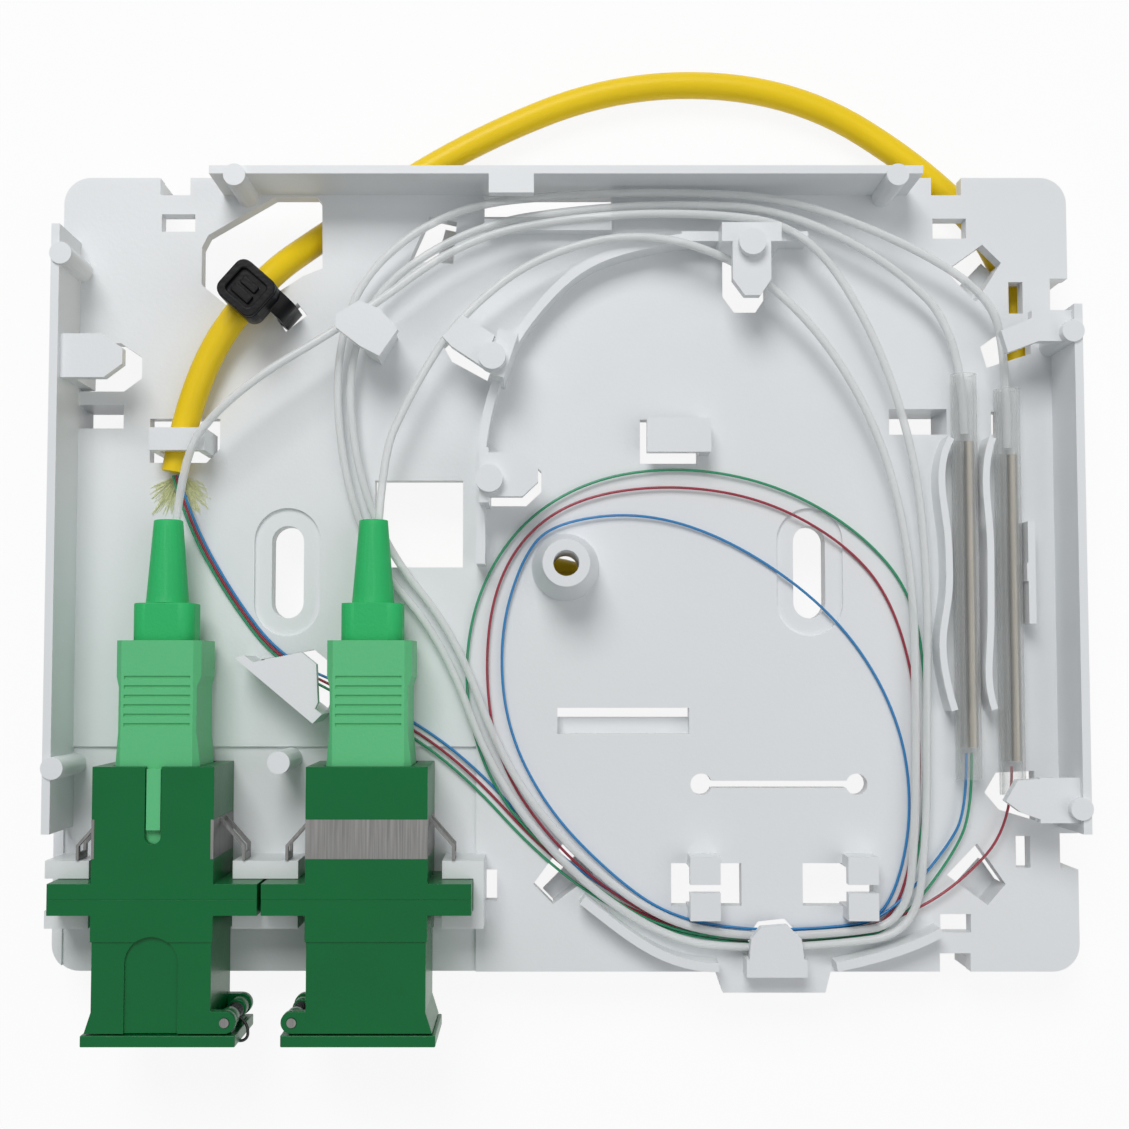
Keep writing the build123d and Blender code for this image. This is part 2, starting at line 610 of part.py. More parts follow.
    # Bridge over the cable's end
    with BuildSketch(Plane.XY.offset(FLOOR_LOW)):
        shapes([span(BRIDGE_SPAN[0], BRIDGE_SPAN[0] + BRIDGE_POST, *BRIDGE_ENDS),
                span(BRIDGE_SPAN[1] - BRIDGE_POST, BRIDGE_SPAN[1], *BRIDGE_ENDS)])
    extrude(amount=FLOOR_T + BRIDGE_H)
    with BuildSketch(Plane.XY.offset(FLOOR_TOP + BRIDGE_H - TONGUE_T)):
        shapes([span(*BRIDGE_SPAN, *BRIDGE_ENDS)])
    extrude(amount=TONGUE_T)

    # Hooks at the cable tie windows
    with BuildSketch(Plane.XY.offset(FLOOR_LOW)):
        for x, width in TIE_HOOKS:
            shapes([sides(x, x + width, TIE_WINDOW_HIGH - TIE_HOOK_STEM, TIE_WINDOW_HIGH + EDGE_T),
                    sides(x, x + width, TIE_WINDOW_LOW - EDGE_T, TIE_WINDOW_LOW + TIE_HOOK_STEM)])
    extrude(amount=FLOOR_T + TIE_HOOK_TOP)
    with BuildSketch(Plane.XY.offset(FLOOR_TOP + TIE_HOOK_TOP - TONGUE_T)):
        for x, width in TIE_HOOKS:
            shapes([sides(x, x + width, TIE_WINDOW_HIGH - TIE_HOOK_REACH, TIE_WINDOW_HIGH + EDGE_T),
                    sides(x, x + width, TIE_WINDOW_LOW - EDGE_T, TIE_WINDOW_LOW + TIE_HOOK_REACH)])
    extrude(amount=TONGUE_T)

save(base_tray, "base_tray")

# Adapters
BODY_END = FLANGE_HALF_T + BODY_L
PIVOT_X = ADAPTER_W / 2 + HINGE_SIDE
PIVOT_Z = -BODY_END + HINGE_BACK
WING_END = FLANGE_HALF_T + BAY_RIB_T + 2 * SEAT_GAP
WING_X = ADAPTER_W / 2 + WING_REACH
WING = [((ADAPTER_W - BAND_T) / 2, WING_FROM), (WING_X, WING_BEND), (WING_X, WING_END)]
WING_FOOT = [(WING_X, WING_END + FOOT_L), (WING_X, WING_END)]
LEG_OUT = -HINGE_BACK - DOOR_GAP - DOOR_T - COIL_WIRE - SEAT_GAP / 2
LEG = [(COIL_R - LEG_START, LEG_START), (LEG_X, LEG_TURN), (LEG_X, LEG_OUT), (LEG_TIP, LEG_OUT)]

for side in ("left", "right"):
    seat = seat_plane(side)

    with BuildPart() as plug_shell:
        with BuildSketch(seat):
            Rectangle(FLANGE_W, ADAPTER_H)
            with Locations((-FLANGE_HOLE_X, 0), (FLANGE_HOLE_X, 0)):
                Circle(FLANGE_HOLE_R, mode=Mode.SUBTRACT)
        extrude(amount=FLANGE_HALF_T)
        with BuildSketch(seat.offset(FLANGE_HALF_T)):
            Rectangle(ADAPTER_W, ADAPTER_H)
        extrude(amount=BODY_L)
        # Groove that seats the steel clip on three sides
        with BuildSketch(seat.offset(BAND_AT - BAND_W / 2)):
            Rectangle(ADAPTER_W, ADAPTER_H)
            with Locations((0, -BAND_T)):
                Rectangle(ADAPTER_W - 2 * BAND_T, ADAPTER_H, mode=Mode.SUBTRACT)
        extrude(amount=BAND_W, mode=Mode.SUBTRACT)
        with BuildSketch(seat):
            Rectangle(BORE_W, BORE_H)
        extrude(amount=BODY_END, mode=Mode.SUBTRACT)
        with BuildSketch(side_plane(seat, -ADAPTER_H / 2)):
            with Locations((0, -BODY_END)):
                SlotOverall(2 * KEY_SLOT_L, KEY_SLOT_W, rotation=90)
        extrude(amount=ADAPTER_H / 2, mode=Mode.SUBTRACT)
    save(plug_shell, f"adapter_{side}_plug_shell")

    with BuildPart() as port_shell:
        with BuildSketch(seat):
            Rectangle(FLANGE_W, ADAPTER_H)
            with Locations((-FLANGE_HOLE_X, 0), (FLANGE_HOLE_X, 0)):
                Circle(FLANGE_HOLE_R, mode=Mode.SUBTRACT)
        extrude(amount=-FLANGE_HALF_T)
        with BuildSketch(seat):
            Rectangle(ADAPTER_W, ADAPTER_H)
        extrude(amount=-PORT_STEP_AT)
        with BuildSketch(seat):
            Rectangle(ADAPTER_W - 2 * PORT_STEP, ADAPTER_H - 2 * PORT_STEP)
        extrude(amount=-BODY_END)
        # Ears for the shutter's hinge pin, one at each face
        for height in (-ADAPTER_H / 2 + PORT_STEP, ADAPTER_H / 2 - PORT_STEP - EAR_T):
            with BuildSketch(side_plane(seat, height)):
                with Locations((PIVOT_X, -PIVOT_Z)):
                    Circle(EAR_R)
                with Locations(((BORE_W / 2 + PIVOT_X) / 2, -PIVOT_Z)):
                    Rectangle(PIVOT_X - BORE_W / 2, 2 * EAR_R)
                with Locations((PIVOT_X, -PIVOT_Z)):
                    Circle(HINGE_R, mode=Mode.SUBTRACT)
            extrude(amount=EAR_T)
        # Flared lip that the door's edge rests on
        with BuildSketch(side_plane(seat, -ADAPTER_H / 2 + PORT_STEP)):
            with BuildLine():
                Polyline((-ADAPTER_W / 2 + PORT_STEP, BODY_END - FLARE_L),
                (-ADAPTER_W / 2 - FLARE, BODY_END),
                         (-ADAPTER_W / 2 + PORT_STEP, BODY_END), close=True)
            make_face()
        extrude(amount=ADAPTER_H - 2 * PORT_STEP)
        with BuildSketch(seat):
            Rectangle(BORE_W, BORE_H)
        extrude(amount=-BODY_END, mode=Mode.SUBTRACT)
        # Shallow arch on the key side
        with BuildSketch(side_plane(seat, -ADAPTER_H / 2)):
            with Locations((0, BODY_END)):
                SlotOverall(2 * ARCH_L, ARCH_W, rotation=90)
        extrude(amount=PORT_STEP + ARCH_DEPTH, mode=Mode.SUBTRACT)
    save(port_shell, f"adapter_{side}_port_shell")

    # Spring steel clip: a band in the groove and a wing standing off each side
    with BuildPart() as clip:
        with BuildSketch(seat.offset(BAND_AT - BAND_W / 2)):
            Rectangle(ADAPTER_W, ADAPTER_H)
            with Locations((0, -BAND_T)):
                Rectangle(ADAPTER_W - 2 * BAND_T, ADAPTER_H, mode=Mode.SUBTRACT)
        extrude(amount=BAND_W)
        # Each wing is two narrow rails with a foot across their ends
        for way in (-1, 1):
            for line, low, wide in ((WING, -WING_W / 2, RAIL_W), (WING, WING_W / 2 - RAIL_W, RAIL_W),
                                    (WING_FOOT, -WING_W / 2, WING_W)):
                with BuildSketch(side_plane(seat, low)):
                    with BuildLine() as wing:
                        Polyline(*[(way * x, -z) for x, z in line])
                    trace(wing.line, line_width=BAND_T)
                extrude(amount=wide)
    save(clip, f"adapter_{side}_clip")

    # Latch holders: a plate with a sleeve tube and two hooked arms, one on each side of the flange
    for end, way in (("plug", 1), ("port", -1)):
        with BuildPart() as latch:
            with BuildSketch(seat):
                Rectangle(BORE_W - FRAME_GAP, BORE_H - FRAME_GAP)
            extrude(amount=way * HOLDER_T)
            with BuildSketch(seat):
                Circle(HOLDER_TUBE_R)
            extrude(amount=way * HOLDER_TUBE_L)
            for hand in (-1, 1):
                with BuildSketch(side_plane(seat, -ARM_W / 2)):
                    with BuildLine():
                        Polyline(
                            (hand * (ARM_X - ARM_T / 2), 0),
                            (hand * (ARM_X + ARM_T / 2), 0),
                            (hand * (ARM_X + ARM_T / 2), -way * ARM_L),
                            (hand * (ARM_X - ARM_T / 2 - HOOK_IN), -way * (ARM_L - HOOK_L / 3)),
                            (hand * (ARM_X - ARM_T / 2 - HOOK_IN), -way * (ARM_L - HOOK_L)),
                            (hand * (ARM_X - ARM_T / 2), -way * (ARM_L - HOOK_L)),
                            close=True,
                        )
                    make_face()
                extrude(amount=ARM_W)
            with BuildSketch(seat):
                Circle(SLEEVE_OUTER_R + RUNNING_GAP)
            extrude(amount=way * HOLDER_TUBE_L, mode=Mode.SUBTRACT)
        save(latch, f"adapter_{side}_{end}_latch")

    with BuildPart() as split_sleeve:
        with BuildSketch(seat.offset(-SLEEVE_L / 2)):
            Circle(SLEEVE_OUTER_R)
            Circle(SLEEVE_OUTER_R - SLEEVE_T, mode=Mode.SUBTRACT)
            with Locations((SLEEVE_OUTER_R, 0)):
                Rectangle(2 * SLEEVE_OUTER_R, SLEEVE_SLIT, mode=Mode.SUBTRACT)
        extrude(amount=SLEEVE_L)
    save(split_sleeve, f"adapter_{side}_split_sleeve")

    # Shutter door with its hinge barrels, pin and torsion spring
    with BuildPart() as shutter:
        inner = BODY_END + DOOR_GAP
        with BuildSketch(side_plane(seat, -ADAPTER_H / 2)):
            with BuildLine():
                Polyline(*sides(-ADAPTER_W / 2 - DOOR_OVERLAP, PIVOT_X + EAR_R, inner, inner + DOOR_T),
                         close=True)
            make_face()
        extrude(amount=ADAPTER_H)
        for low, high in ((-BARREL_SPAN[1], -BARREL_SPAN[0]), BARREL_SPAN):
            with BuildSketch(side_plane(seat, low)):
                with Locations((PIVOT_X, -PIVOT_Z)):
                    Circle(BARREL_OUT_R)
                with Locations((PIVOT_X, (-PIVOT_Z + inner + DOOR_T / 2) / 2)):
                    Rectangle(BARREL_OUT_R, inner + DOOR_T / 2 + PIVOT_Z)
                with Locations((PIVOT_X, -PIVOT_Z)):
                    Circle(HINGE_R + RUNNING_GAP, mode=Mode.SUBTRACT)
            extrude(amount=high - low)
    save(shutter, f"adapter_{side}_shutter")

    with BuildPart() as pin:
        with BuildSketch(side_plane(seat, -ADAPTER_H / 2)):
            with Locations((PIVOT_X, -PIVOT_Z)):
                Circle(HINGE_R)
        extrude(amount=ADAPTER_H)
    save(pin, f"adapter_{side}_hinge_pin")

    coil_low = -BARREL_SPAN[0] + COIL_WIRE + RUNNING_GAP
    pivot = Plane(origin=seat.from_local_coords((PIVOT_X, coil_low, PIVOT_Z)),
                  x_dir=seat.x_dir, z_dir=seat.y_dir)
    spring = coil(pivot, COIL_R, COIL_WIRE, -2 * coil_low, COIL_PITCH * COIL_WIRE)
    leg = tube([seat.from_local_coords((PIVOT_X + x, coil_low, PIVOT_Z + z)) for x, z in LEG], COIL_WIRE)
    with BuildPart() as shutter_spring:
        add(spring)
        add(leg.part)
    save(shutter_spring, f"adapter_{side}_shutter_spring")

# Plugs
BOOT_BORE_R = BARREL_R + CRIMP_T + RUNNING_GAP

for side in ("left", "right"):
    seat = seat_plane(side)
    grip_back = GRIP_FRONT + GRIP_L

    with BuildPart() as grip:
        with BuildSketch(seat.offset(GRIP_FRONT)):
            Rectangle(GRIP_W, GRIP_H)
            chamfer(vertices(), GRIP_CHAMFER)
        extrude(amount=GRIP_L)
        # Waist in both sides, and rows of finger grooves on all four faces
        with BuildSketch(side_plane(seat, -GRIP_H / 2)):
            for way in (-1, 1):
                with BuildLine():
                    Polyline(*[(way * (GRIP_W / 2 - GRIP_WAIST * depth), -z) for z, depth in WAIST],
                             (way * GRIP_W, -WAIST[-1][0]), (way * GRIP_W, -WAIST[0][0]), close=True)
                make_face()
        extrude(amount=GRIP_H, mode=Mode.SUBTRACT)
        for groove in range(GROOVES):
            with BuildSketch(seat.offset(GROOVE_FIRST + groove * GROOVE_PITCH - GROOVE_W / 2)):
                with Locations((0, -GRIP_H / 2), (0, GRIP_H / 2)):
                    Rectangle(GROOVE_SPAN, 2 * GROOVE_DEPTH)
            extrude(amount=GROOVE_W, mode=Mode.SUBTRACT)
        with BuildSketch(seat.offset(GRIP_FRONT)):
            Rectangle(FRAME_W + 2 * FRAME_GAP, FRAME_H + 2 * FRAME_GAP)
        extrude(amount=GRIP_L, mode=Mode.SUBTRACT)
        with BuildSketch(seat.offset(GRIP_FRONT)):
            Rectangle(2 * GRIP_W, LATCH_SLOT_W)
        extrude(amount=LATCH_SLOT_END - GRIP_FRONT, mode=Mode.SUBTRACT)
        with BuildSketch(seat.offset(KEY_END - KEY_L)):
            with Locations((0, -GRIP_H / 2 - KEY_H / 2 + BORE_GAP)):
                Rectangle(KEY_W, KEY_H + 2 * BORE_GAP)
        extrude(amount=KEY_L)
    save(grip, f"plug_{side}_grip")

    with BuildPart() as frame:
        with BuildSketch(seat.offset(FRAME_FRONT)):
            Rectangle(FRAME_W, FRAME_H)
            chamfer(vertices(), GRIP_CHAMFER)
        extrude(amount=FRAME_BACK - FRAME_FRONT)
        with BuildSketch(seat.offset(FRAME_FRONT)):
            for way in (-1, 1):
                with Locations((way * (LATCH_RECESS + FRAME_W) / 2, 0)):
                    Rectangle(FRAME_W - LATCH_RECESS, LATCH_SLOT_W)
        extrude(amount=LATCH_RECESS_END - FRAME_FRONT, mode=Mode.SUBTRACT)
        with BuildSketch(seat.offset(SHOULDER[0])):
            Rectangle(2 * SHOULDER_X, ARM_W)
        extrude(amount=SHOULDER[1] - SHOULDER[0])
        with BuildSketch(seat.offset(FRAME_FRONT)):
            Circle(FRAME_BORE_R)
        extrude(amount=LIP_AT - FRAME_FRONT, mode=Mode.SUBTRACT)
        with BuildSketch(seat.offset(LIP_AT)):
            Circle(FERRULE_R + FRAME_GAP)
        extrude(amount=LIP_T, mode=Mode.SUBTRACT)
        with BuildSketch(seat.offset(LIP_AT + LIP_T)):
            Circle(FRAME_BORE_R)
        extrude(amount=FRAME_BACK - LIP_AT - LIP_T, mode=Mode.SUBTRACT)
    save(frame, f"plug_{side}_frame")

    with BuildPart() as ferrule:
        with BuildSketch(seat.offset(FERRULE_START)):
            Circle(FERRULE_R)
        extrude(amount=FERRULE_L)
        drop = 2 * FERRULE_R * math.tan(math.radians(POLISH_DEG))
        with BuildSketch(side_plane(seat, -FERRULE_R)):
            with BuildLine():
                Polyline((-FERRULE_R, -FERRULE_START), (3 * FERRULE_R, -FERRULE_START),
                         (3 * FERRULE_R, -FERRULE_START - 2 * drop), close=True)
            make_face()
        extrude(amount=2 * FERRULE_R, mode=Mode.SUBTRACT)
    save(ferrule, f"plug_{side}_ferrule")

    hub_at = LIP_AT + LIP_T + BORE_GAP
    with BuildPart() as hub:
        with BuildSketch(seat.offset(hub_at)):
            Circle(HUB_R)
        extrude(amount=HUB_L)
        with BuildSketch(seat.offset(hub_at)):
            Circle(STEM_R)
        extrude(amount=STEM_END - hub_at)
        with BuildSketch(seat.offset(hub_at)):
            Circle(FERRULE_R)
        extrude(amount=FERRULE_START + FERRULE_L - hub_at, mode=Mode.SUBTRACT)
    save(hub, f"plug_{side}_ferrule_hub")

    hub_back = hub_at + HUB_L
    spring_l = STOP_AT - hub_back - 2 * (SPRING_WIRE + BORE_GAP)
    with BuildPart() as plug_spring:
        add(coil(seat.offset(hub_back + SPRING_WIRE + BORE_GAP), SPRING_R, SPRING_WIRE, spring_l,
                 spring_l / SPRING_TURNS))
    save(plug_spring, f"plug_{side}_spring")

    with BuildPart() as stop:
        with BuildSketch(seat.offset(STOP_AT)):
            Circle(STOP_R)
        extrude(amount=STOP_L)
        with BuildSketch(seat.offset(STOP_AT)):
            Circle(BARREL_R)
        extrude(amount=BARREL_END - STOP_AT)
        with BuildSketch(seat.offset(STOP_AT)):
            Circle(STEM_R + FRAME_GAP)
        extrude(amount=STEM_END - STOP_AT + BORE_GAP, mode=Mode.SUBTRACT)
        with BuildSketch(seat.offset(STOP_AT)):
            Circle(BUFFER_R + BORE_GAP)
        extrude(amount=BARREL_END - STOP_AT, mode=Mode.SUBTRACT)
    save(stop, f"plug_{side}_back_stop")

    with BuildPart() as crimp:
        with BuildSketch(seat.offset(STOP_AT + STOP_L)):
            Circle(BARREL_R + CRIMP_T)
            Circle(BARREL_R, mode=Mode.SUBTRACT)
        extrude(amount=CRIMP_L)
    save(crimp, f"plug_{side}_crimp_ring")

    with BuildPart() as boot:
        with BuildSketch(seat.offset(BOOT_COLLAR_AT)):
            RectangleRounded(BOOT_COLLAR_W, BOOT_COLLAR_H, BOOT_TIP_R)
        extrude(amount=BOOT_COLLAR_END - BOOT_COLLAR_AT)
        with BuildSketch(seat.offset(BOOT_COLLAR_END)):
            Circle(BOOT_ROOT_R)
        with BuildSketch(seat.offset(BOOT_END)):
            Circle(BOOT_TIP_R)
        loft()
        with BuildSketch(seat.offset(BOOT_COLLAR_AT)):
            Circle(BOOT_BORE_R)
        extrude(amount=STOP_AT + STOP_L + CRIMP_L + BORE_GAP - BOOT_COLLAR_AT, mode=Mode.SUBTRACT)
        with BuildSketch(seat.offset(BOOT_COLLAR_AT)):
            Circle(BUFFER_R + BORE_GAP)
        extrude(amount=BOOT_END - BOOT_COLLAR_AT, mode=Mode.SUBTRACT)
    save(boot, f"plug_{side}_boot")

# Splice sleeves: a shrunk outer tube over a melt tube and a steel rod, lying in the holder
splice_z = FLOOR_TOP + SPLICE_R + BORE_GAP
for side, splice_x, splice_y, rod_y in zip(("left", "right"), SPLICE_X, SPLICE_Y, ROD_Y):
    along = Plane(origin=(splice_x, splice_y - SPLICE_L / 2, splice_z), x_dir=(1, 0, 0), z_dir=(0, 1, 0))
    rod_plane = Plane(origin=(splice_x, rod_y - ROD_L / 2, splice_z), x_dir=(1, 0, 0), z_dir=(0, 1, 0))
    with BuildPart() as outer_tube:
        with BuildSketch(along):
            Circle(SPLICE_R)
            Circle(SPLICE_R - SPLICE_T, mode=Mode.SUBTRACT)
        extrude(amount=SPLICE_L)
    save(outer_tube, f"splice_{side}_outer_tube")
    with BuildPart() as melt_tube:
        with BuildSketch(rod_plane):
            with Locations((MELT_X, 0)):
                Circle(MELT_R)
                Circle(FIBRE_R + BORE_GAP, mode=Mode.SUBTRACT)
        extrude(amount=ROD_L)
    save(melt_tube, f"splice_{side}_melt_tube")
    with BuildPart() as rod:
        with BuildSketch(rod_plane):
            with Locations((ROD_X, 0)):
                Circle(ROD_R)
        extrude(amount=ROD_L)
    save(rod, f"splice_{side}_steel_rod")

# Pigtails: each goes once round the tray and on to the top of a splice sleeve
PIGTAIL_END = BORE_GAP + STEM_END
PIGTAILS = {
    "left": [
        (-36.5, 18.5, 12.8), (-23.0, 27.0, 11.3), (-11.0, 36.3, 10.6), (2.5, 38.8, 10.3),
        (15.5, 39.1, 10.35),
        (26.5, 37.6, 10.2), (34.0, 26.5, 9.6), (38.8, 12.5, 8.8), (40.2, -2.0, 8.0), (39.9, -16.5, 7.9),
        (39.7, -29.0, 8.1), (38.3, -40.3, 8.2), (29.0, -41.6, 7.8), (20.0, -42.0, 7.65),
        (11.5, -41.2, 7.7),
        (1.2, -34.6, 7.65), (-8.0, -23.5, 7.65), (-13.6, -8.2, 7.6), (-21.7, 1.0, 7.6),
        (-25.0, 11.5, 7.9),
        (-25.7, 23.3, 8.4), (-22.6, 33.0, 8.8), (-12.5, 40.3, 9.0), (1.0, 41.6, 9.1), (13.0, 41.75, 9.3),
        (25.0, 41.0, 9.5),
        (37.5, 36.0, 9.8), (46.5, 30.5, 9.6), (49.3, 24.8, 8.0), (49.3, 13.2, 7.85)],
    "right": [
        (-16.8, 19.5, 10.4), (-11.8, 27.5, 10.2), (-3.0, 34.5, 10.2), (9.0, 37.2, 10.25),
        (20.5, 33.2, 10.2),
        (29.5, 24.5, 9.6), (35.8, 12.5, 8.8), (38.6, -1.5, 8.0), (38.7, -15.5, 7.9), (38.5, -28.0, 8.1),
        (37.4, -39.2, 8.2), (29.5, -40.4, 7.8), (19.0, -40.8, 7.65), (10.0, -38.8, 7.7),
        (0.4, -31.3, 7.65),
        (-7.0, -21.8, 7.65), (-12.2, -7.6, 7.65), (-20.0, 1.9, 7.6), (-23.5, 11.8, 7.9),
        (-24.3, 22.6, 8.4),
        (-20.9, 31.4, 8.8), (-10.0, 38.2, 9.0), (2.5, 40.0, 9.1), (13.0, 40.4, 9.3), (24.0, 39.8, 9.5),
        (35.8, 34.0, 9.6),
        (44.5, 26.0, 8.0), (44.5, 14.8, 7.85)],
}

for side, places in PIGTAILS.items():
    start = [(ADAPTER_X[side], y, AXIS_Z) for y in (FLANGE_Y + PIGTAIL_END, BOOT_EXIT_Y)]
    run = start + spread(places)
    pigtail = tube(run, BUFFER_R)
    save(pigtail, f"pigtail_{side}")
    report(f"pigtail_{side}", pigtail, run, BUFFER_R)

# Bare fibres, from the cable's end round the middle of the tray to the sleeves' low ends
CABLE_END = (-43.5, 10.5, FLOOR_TOP + CABLE_R + SEAT_GAP)
FIBRES = {
    "green": [
        (-43.75, 10.2, 7.9), (-42.6, 5.3, 7.2), (-37.9, -3.3, 6.7), (-32.3, -10.6, 6.6),
        (-24.0, -14.9, 6.62),
        (-12.8, -21.4, 6.6), (-1.6, -33.6, 6.62), (9.0, -39.9, 6.6), (20.0, -41.9, 6.62),
        (30.5, -41.3, 6.6),
        (37.2, -40.0, 6.62), (40.0, -28.0, 6.6), (40.3, -14.0, 6.62), (39.0, -3.0, 6.6), (32.6, 4.4, 6.8),
        (23.0, 9.6, 6.95), (12.0, 11.4, 6.95), (1.5, 9.5, 6.95), (-6.5, 3.6, 6.95), (-11.0, -6.0, 6.95),
        (-11.0, -17.5, 6.95), (-6.4, -27.5, 6.95), (2.0, -34.6, 6.95), (10.0, -39.9, 6.95),
        (20.0, -41.3, 6.95),
        (29.9, -41.0, 6.95), (36.8, -39.6, 6.95), (42.7, -32.2, 6.95), (44.8, -27.0, 7.85),
        (44.8, -20.6, 7.85)],
    "red": [
        (-43.42, 10.2, 7.9), (-42.27, 5.45, 7.2), (-37.6, -3.12, 6.7), (-32.02, -10.38, 6.6),
        (-23.7, -14.3, 6.62),
        (-12.3, -20.8, 6.6), (-1.2, -33.0, 6.62), (9.3, -39.3, 6.6), (20.0, -41.3, 6.62),
        (30.2, -40.7, 6.6),
        (36.4, -39.5, 6.62), (39.3, -28.5, 6.6), (39.4, -15.0, 6.62), (36.6, -3.6, 6.6), (31.2, 2.8, 6.8),
        (22.2, 7.7, 6.95), (12.0, 9.3, 6.95), (2.0, 8.0, 6.95), (-4.5, 3.9, 6.95), (-8.2, -3.0, 6.95),
        (-9.0, -12.5, 6.95), (-7.4, -22.0, 6.95), (-1.5, -30.6, 6.95), (6.0, -36.9, 6.95),
        (13.0, -40.0, 6.95),
        (20.0, -40.8, 6.95), (29.8, -40.4, 7.0), (36.6, -38.9, 7.4), (43.2, -35.2, 7.4),
        (49.2, -28.6, 7.85),
        (49.2, -22.1, 7.85)],
    "blue": [
        (-43.09, 10.2, 7.9), (-41.94, 5.6, 7.2), (-37.3, -2.94, 6.7), (-31.74, -10.16, 6.6),
        (-23.4, -13.7, 6.62),
        (-11.8, -20.2, 6.6), (-0.8, -32.4, 6.62), (9.6, -38.7, 6.6), (20.0, -40.7, 6.62),
        (29.9, -40.1, 6.6),
        (35.6, -38.9, 6.62), (38.6, -28.5, 6.6), (37.4, -17.0, 6.62), (31.0, -6.0, 6.6), (20.0, 2.4, 6.8),
        (9.0, 6.3, 6.95), (-1.5, 5.0, 6.95), (-5.0, 0.8, 6.95), (-7.4, -7.8, 6.95), (-6.6, -18.0, 6.95),
        (-2.0, -27.0, 6.95), (5.2, -34.3, 6.95), (11.5, -38.7, 6.95), (20.0, -40.2, 6.95),
        (29.6, -39.9, 6.95),
        (35.4, -38.9, 6.95), (42.2, -31.2, 6.95), (44.2, -26.8, 7.85), (44.2, -20.6, 7.85)],
}

for colour, run in FIBRES.items():
    fibre = tube(spread(run), FIBRE_R)
    save(fibre, f"fibre_{colour}")
    report(f"fibre_{colour}", fibre, spread(run), FIBRE_R)

# Incoming cable: tied down beside its end, through the large opening and round under the plate
CABLE_LOW = CABLE_R + CABLE_LIFT
CABLE_RUN = [
    CABLE_END, (-41.8, 20.8, CABLE_END[2]), (-34.4, 31.6, 8.9), (-27.5, 39.6, CABLE_LOW),
    (-11.5, 50.2, CABLE_LOW), (7.0, 57.6, CABLE_LOW), (27.0, 56.6, CABLE_LOW), (42.5, 46.8, CABLE_LOW),
    (52.4, 35.6, CABLE_LOW), (52.8, 18.0, CABLE_LOW), (52.2, 1.0, CABLE_LOW), (42.5, -11.5, CABLE_LOW),
    (26.0, -12.2, CABLE_LOW), (11.0, -4.5, CABLE_LOW), (-3.0, 1.4, CABLE_LOW), (-14.0, -2.6, CABLE_LOW),
    (-24.0, -9.0, CABLE_LOW)]
feed_cable = tube(spread(CABLE_RUN), CABLE_R)
save(feed_cable, "feed_cable")
report("feed_cable", feed_cable, spread(CABLE_RUN), CABLE_R)

# Strength yarn, teased out flat on the floor below the cable's end
YARN = spread([(-42.6, 10.3), (-43.9, 10.3), (-46.6, 9.2), (-46.1, 7.7), (-44.6, 8.5), (-43.6, 6.0),
               (-42.8, 8.4), (-41.7, 6.7), (-40.0, 5.3), (-40.7, 8.3)])
with BuildPart() as yarn:
    with BuildSketch(Plane.XY.offset(FLOOR_TOP)):
        shapes([YARN])
    extrude(amount=YARN_T)
save(yarn, "yarn_tuft")

# Cable tie round the cable and the strip of floor beside the large opening
tie_plane = Plane(origin=(across(TIE_AT[0]), TIE_AT[1], (TIE_LOW + TIE_HIGH) / 2),
                  x_dir=(-TIE_ALONG[1], TIE_ALONG[0], 0), z_dir=(*TIE_ALONG, 0))
with BuildPart() as tie:
    with BuildSketch(tie_plane.offset(-TIE_W / 2)):
        RectangleRounded(2 * TIE_HALF + TIE_T, TIE_HIGH - TIE_LOW, TIE_CORNER + TIE_T)
        RectangleRounded(2 * TIE_HALF - TIE_T, TIE_HIGH - TIE_LOW - 2 * TIE_T, TIE_CORNER,
                         mode=Mode.SUBTRACT)
    extrude(amount=TIE_W)
    head_low = (TIE_HIGH - TIE_LOW) / 2 - TIE_T
    with BuildSketch(Plane(origin=tie_plane.from_local_coords((TIE_HEAD_AT[0], head_low, TIE_HEAD_AT[1])),
                           x_dir=tie_plane.x_dir, z_dir=(0, 0, 1))):
        RectangleRounded(TIE_HEAD[0], TIE_HEAD[1], TIE_CORNER)
    extrude(amount=TIE_HEAD[2])
save(tie, "cable_tie")
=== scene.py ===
import math
import random

import bmesh
import bpy
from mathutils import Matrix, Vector


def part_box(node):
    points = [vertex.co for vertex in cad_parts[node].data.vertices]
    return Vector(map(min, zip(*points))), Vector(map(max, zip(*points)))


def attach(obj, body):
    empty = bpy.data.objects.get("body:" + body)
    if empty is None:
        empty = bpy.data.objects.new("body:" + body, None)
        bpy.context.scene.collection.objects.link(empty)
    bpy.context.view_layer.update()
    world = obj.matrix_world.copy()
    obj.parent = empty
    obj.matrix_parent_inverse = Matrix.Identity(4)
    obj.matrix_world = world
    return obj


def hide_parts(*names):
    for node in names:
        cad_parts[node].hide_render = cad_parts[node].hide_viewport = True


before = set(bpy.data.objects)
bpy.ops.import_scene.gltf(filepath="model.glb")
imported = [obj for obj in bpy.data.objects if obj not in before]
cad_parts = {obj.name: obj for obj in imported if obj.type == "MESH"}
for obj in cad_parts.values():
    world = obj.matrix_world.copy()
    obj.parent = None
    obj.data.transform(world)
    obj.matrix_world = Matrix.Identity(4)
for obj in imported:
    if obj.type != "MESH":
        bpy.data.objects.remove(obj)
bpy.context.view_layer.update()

MM = 0.001

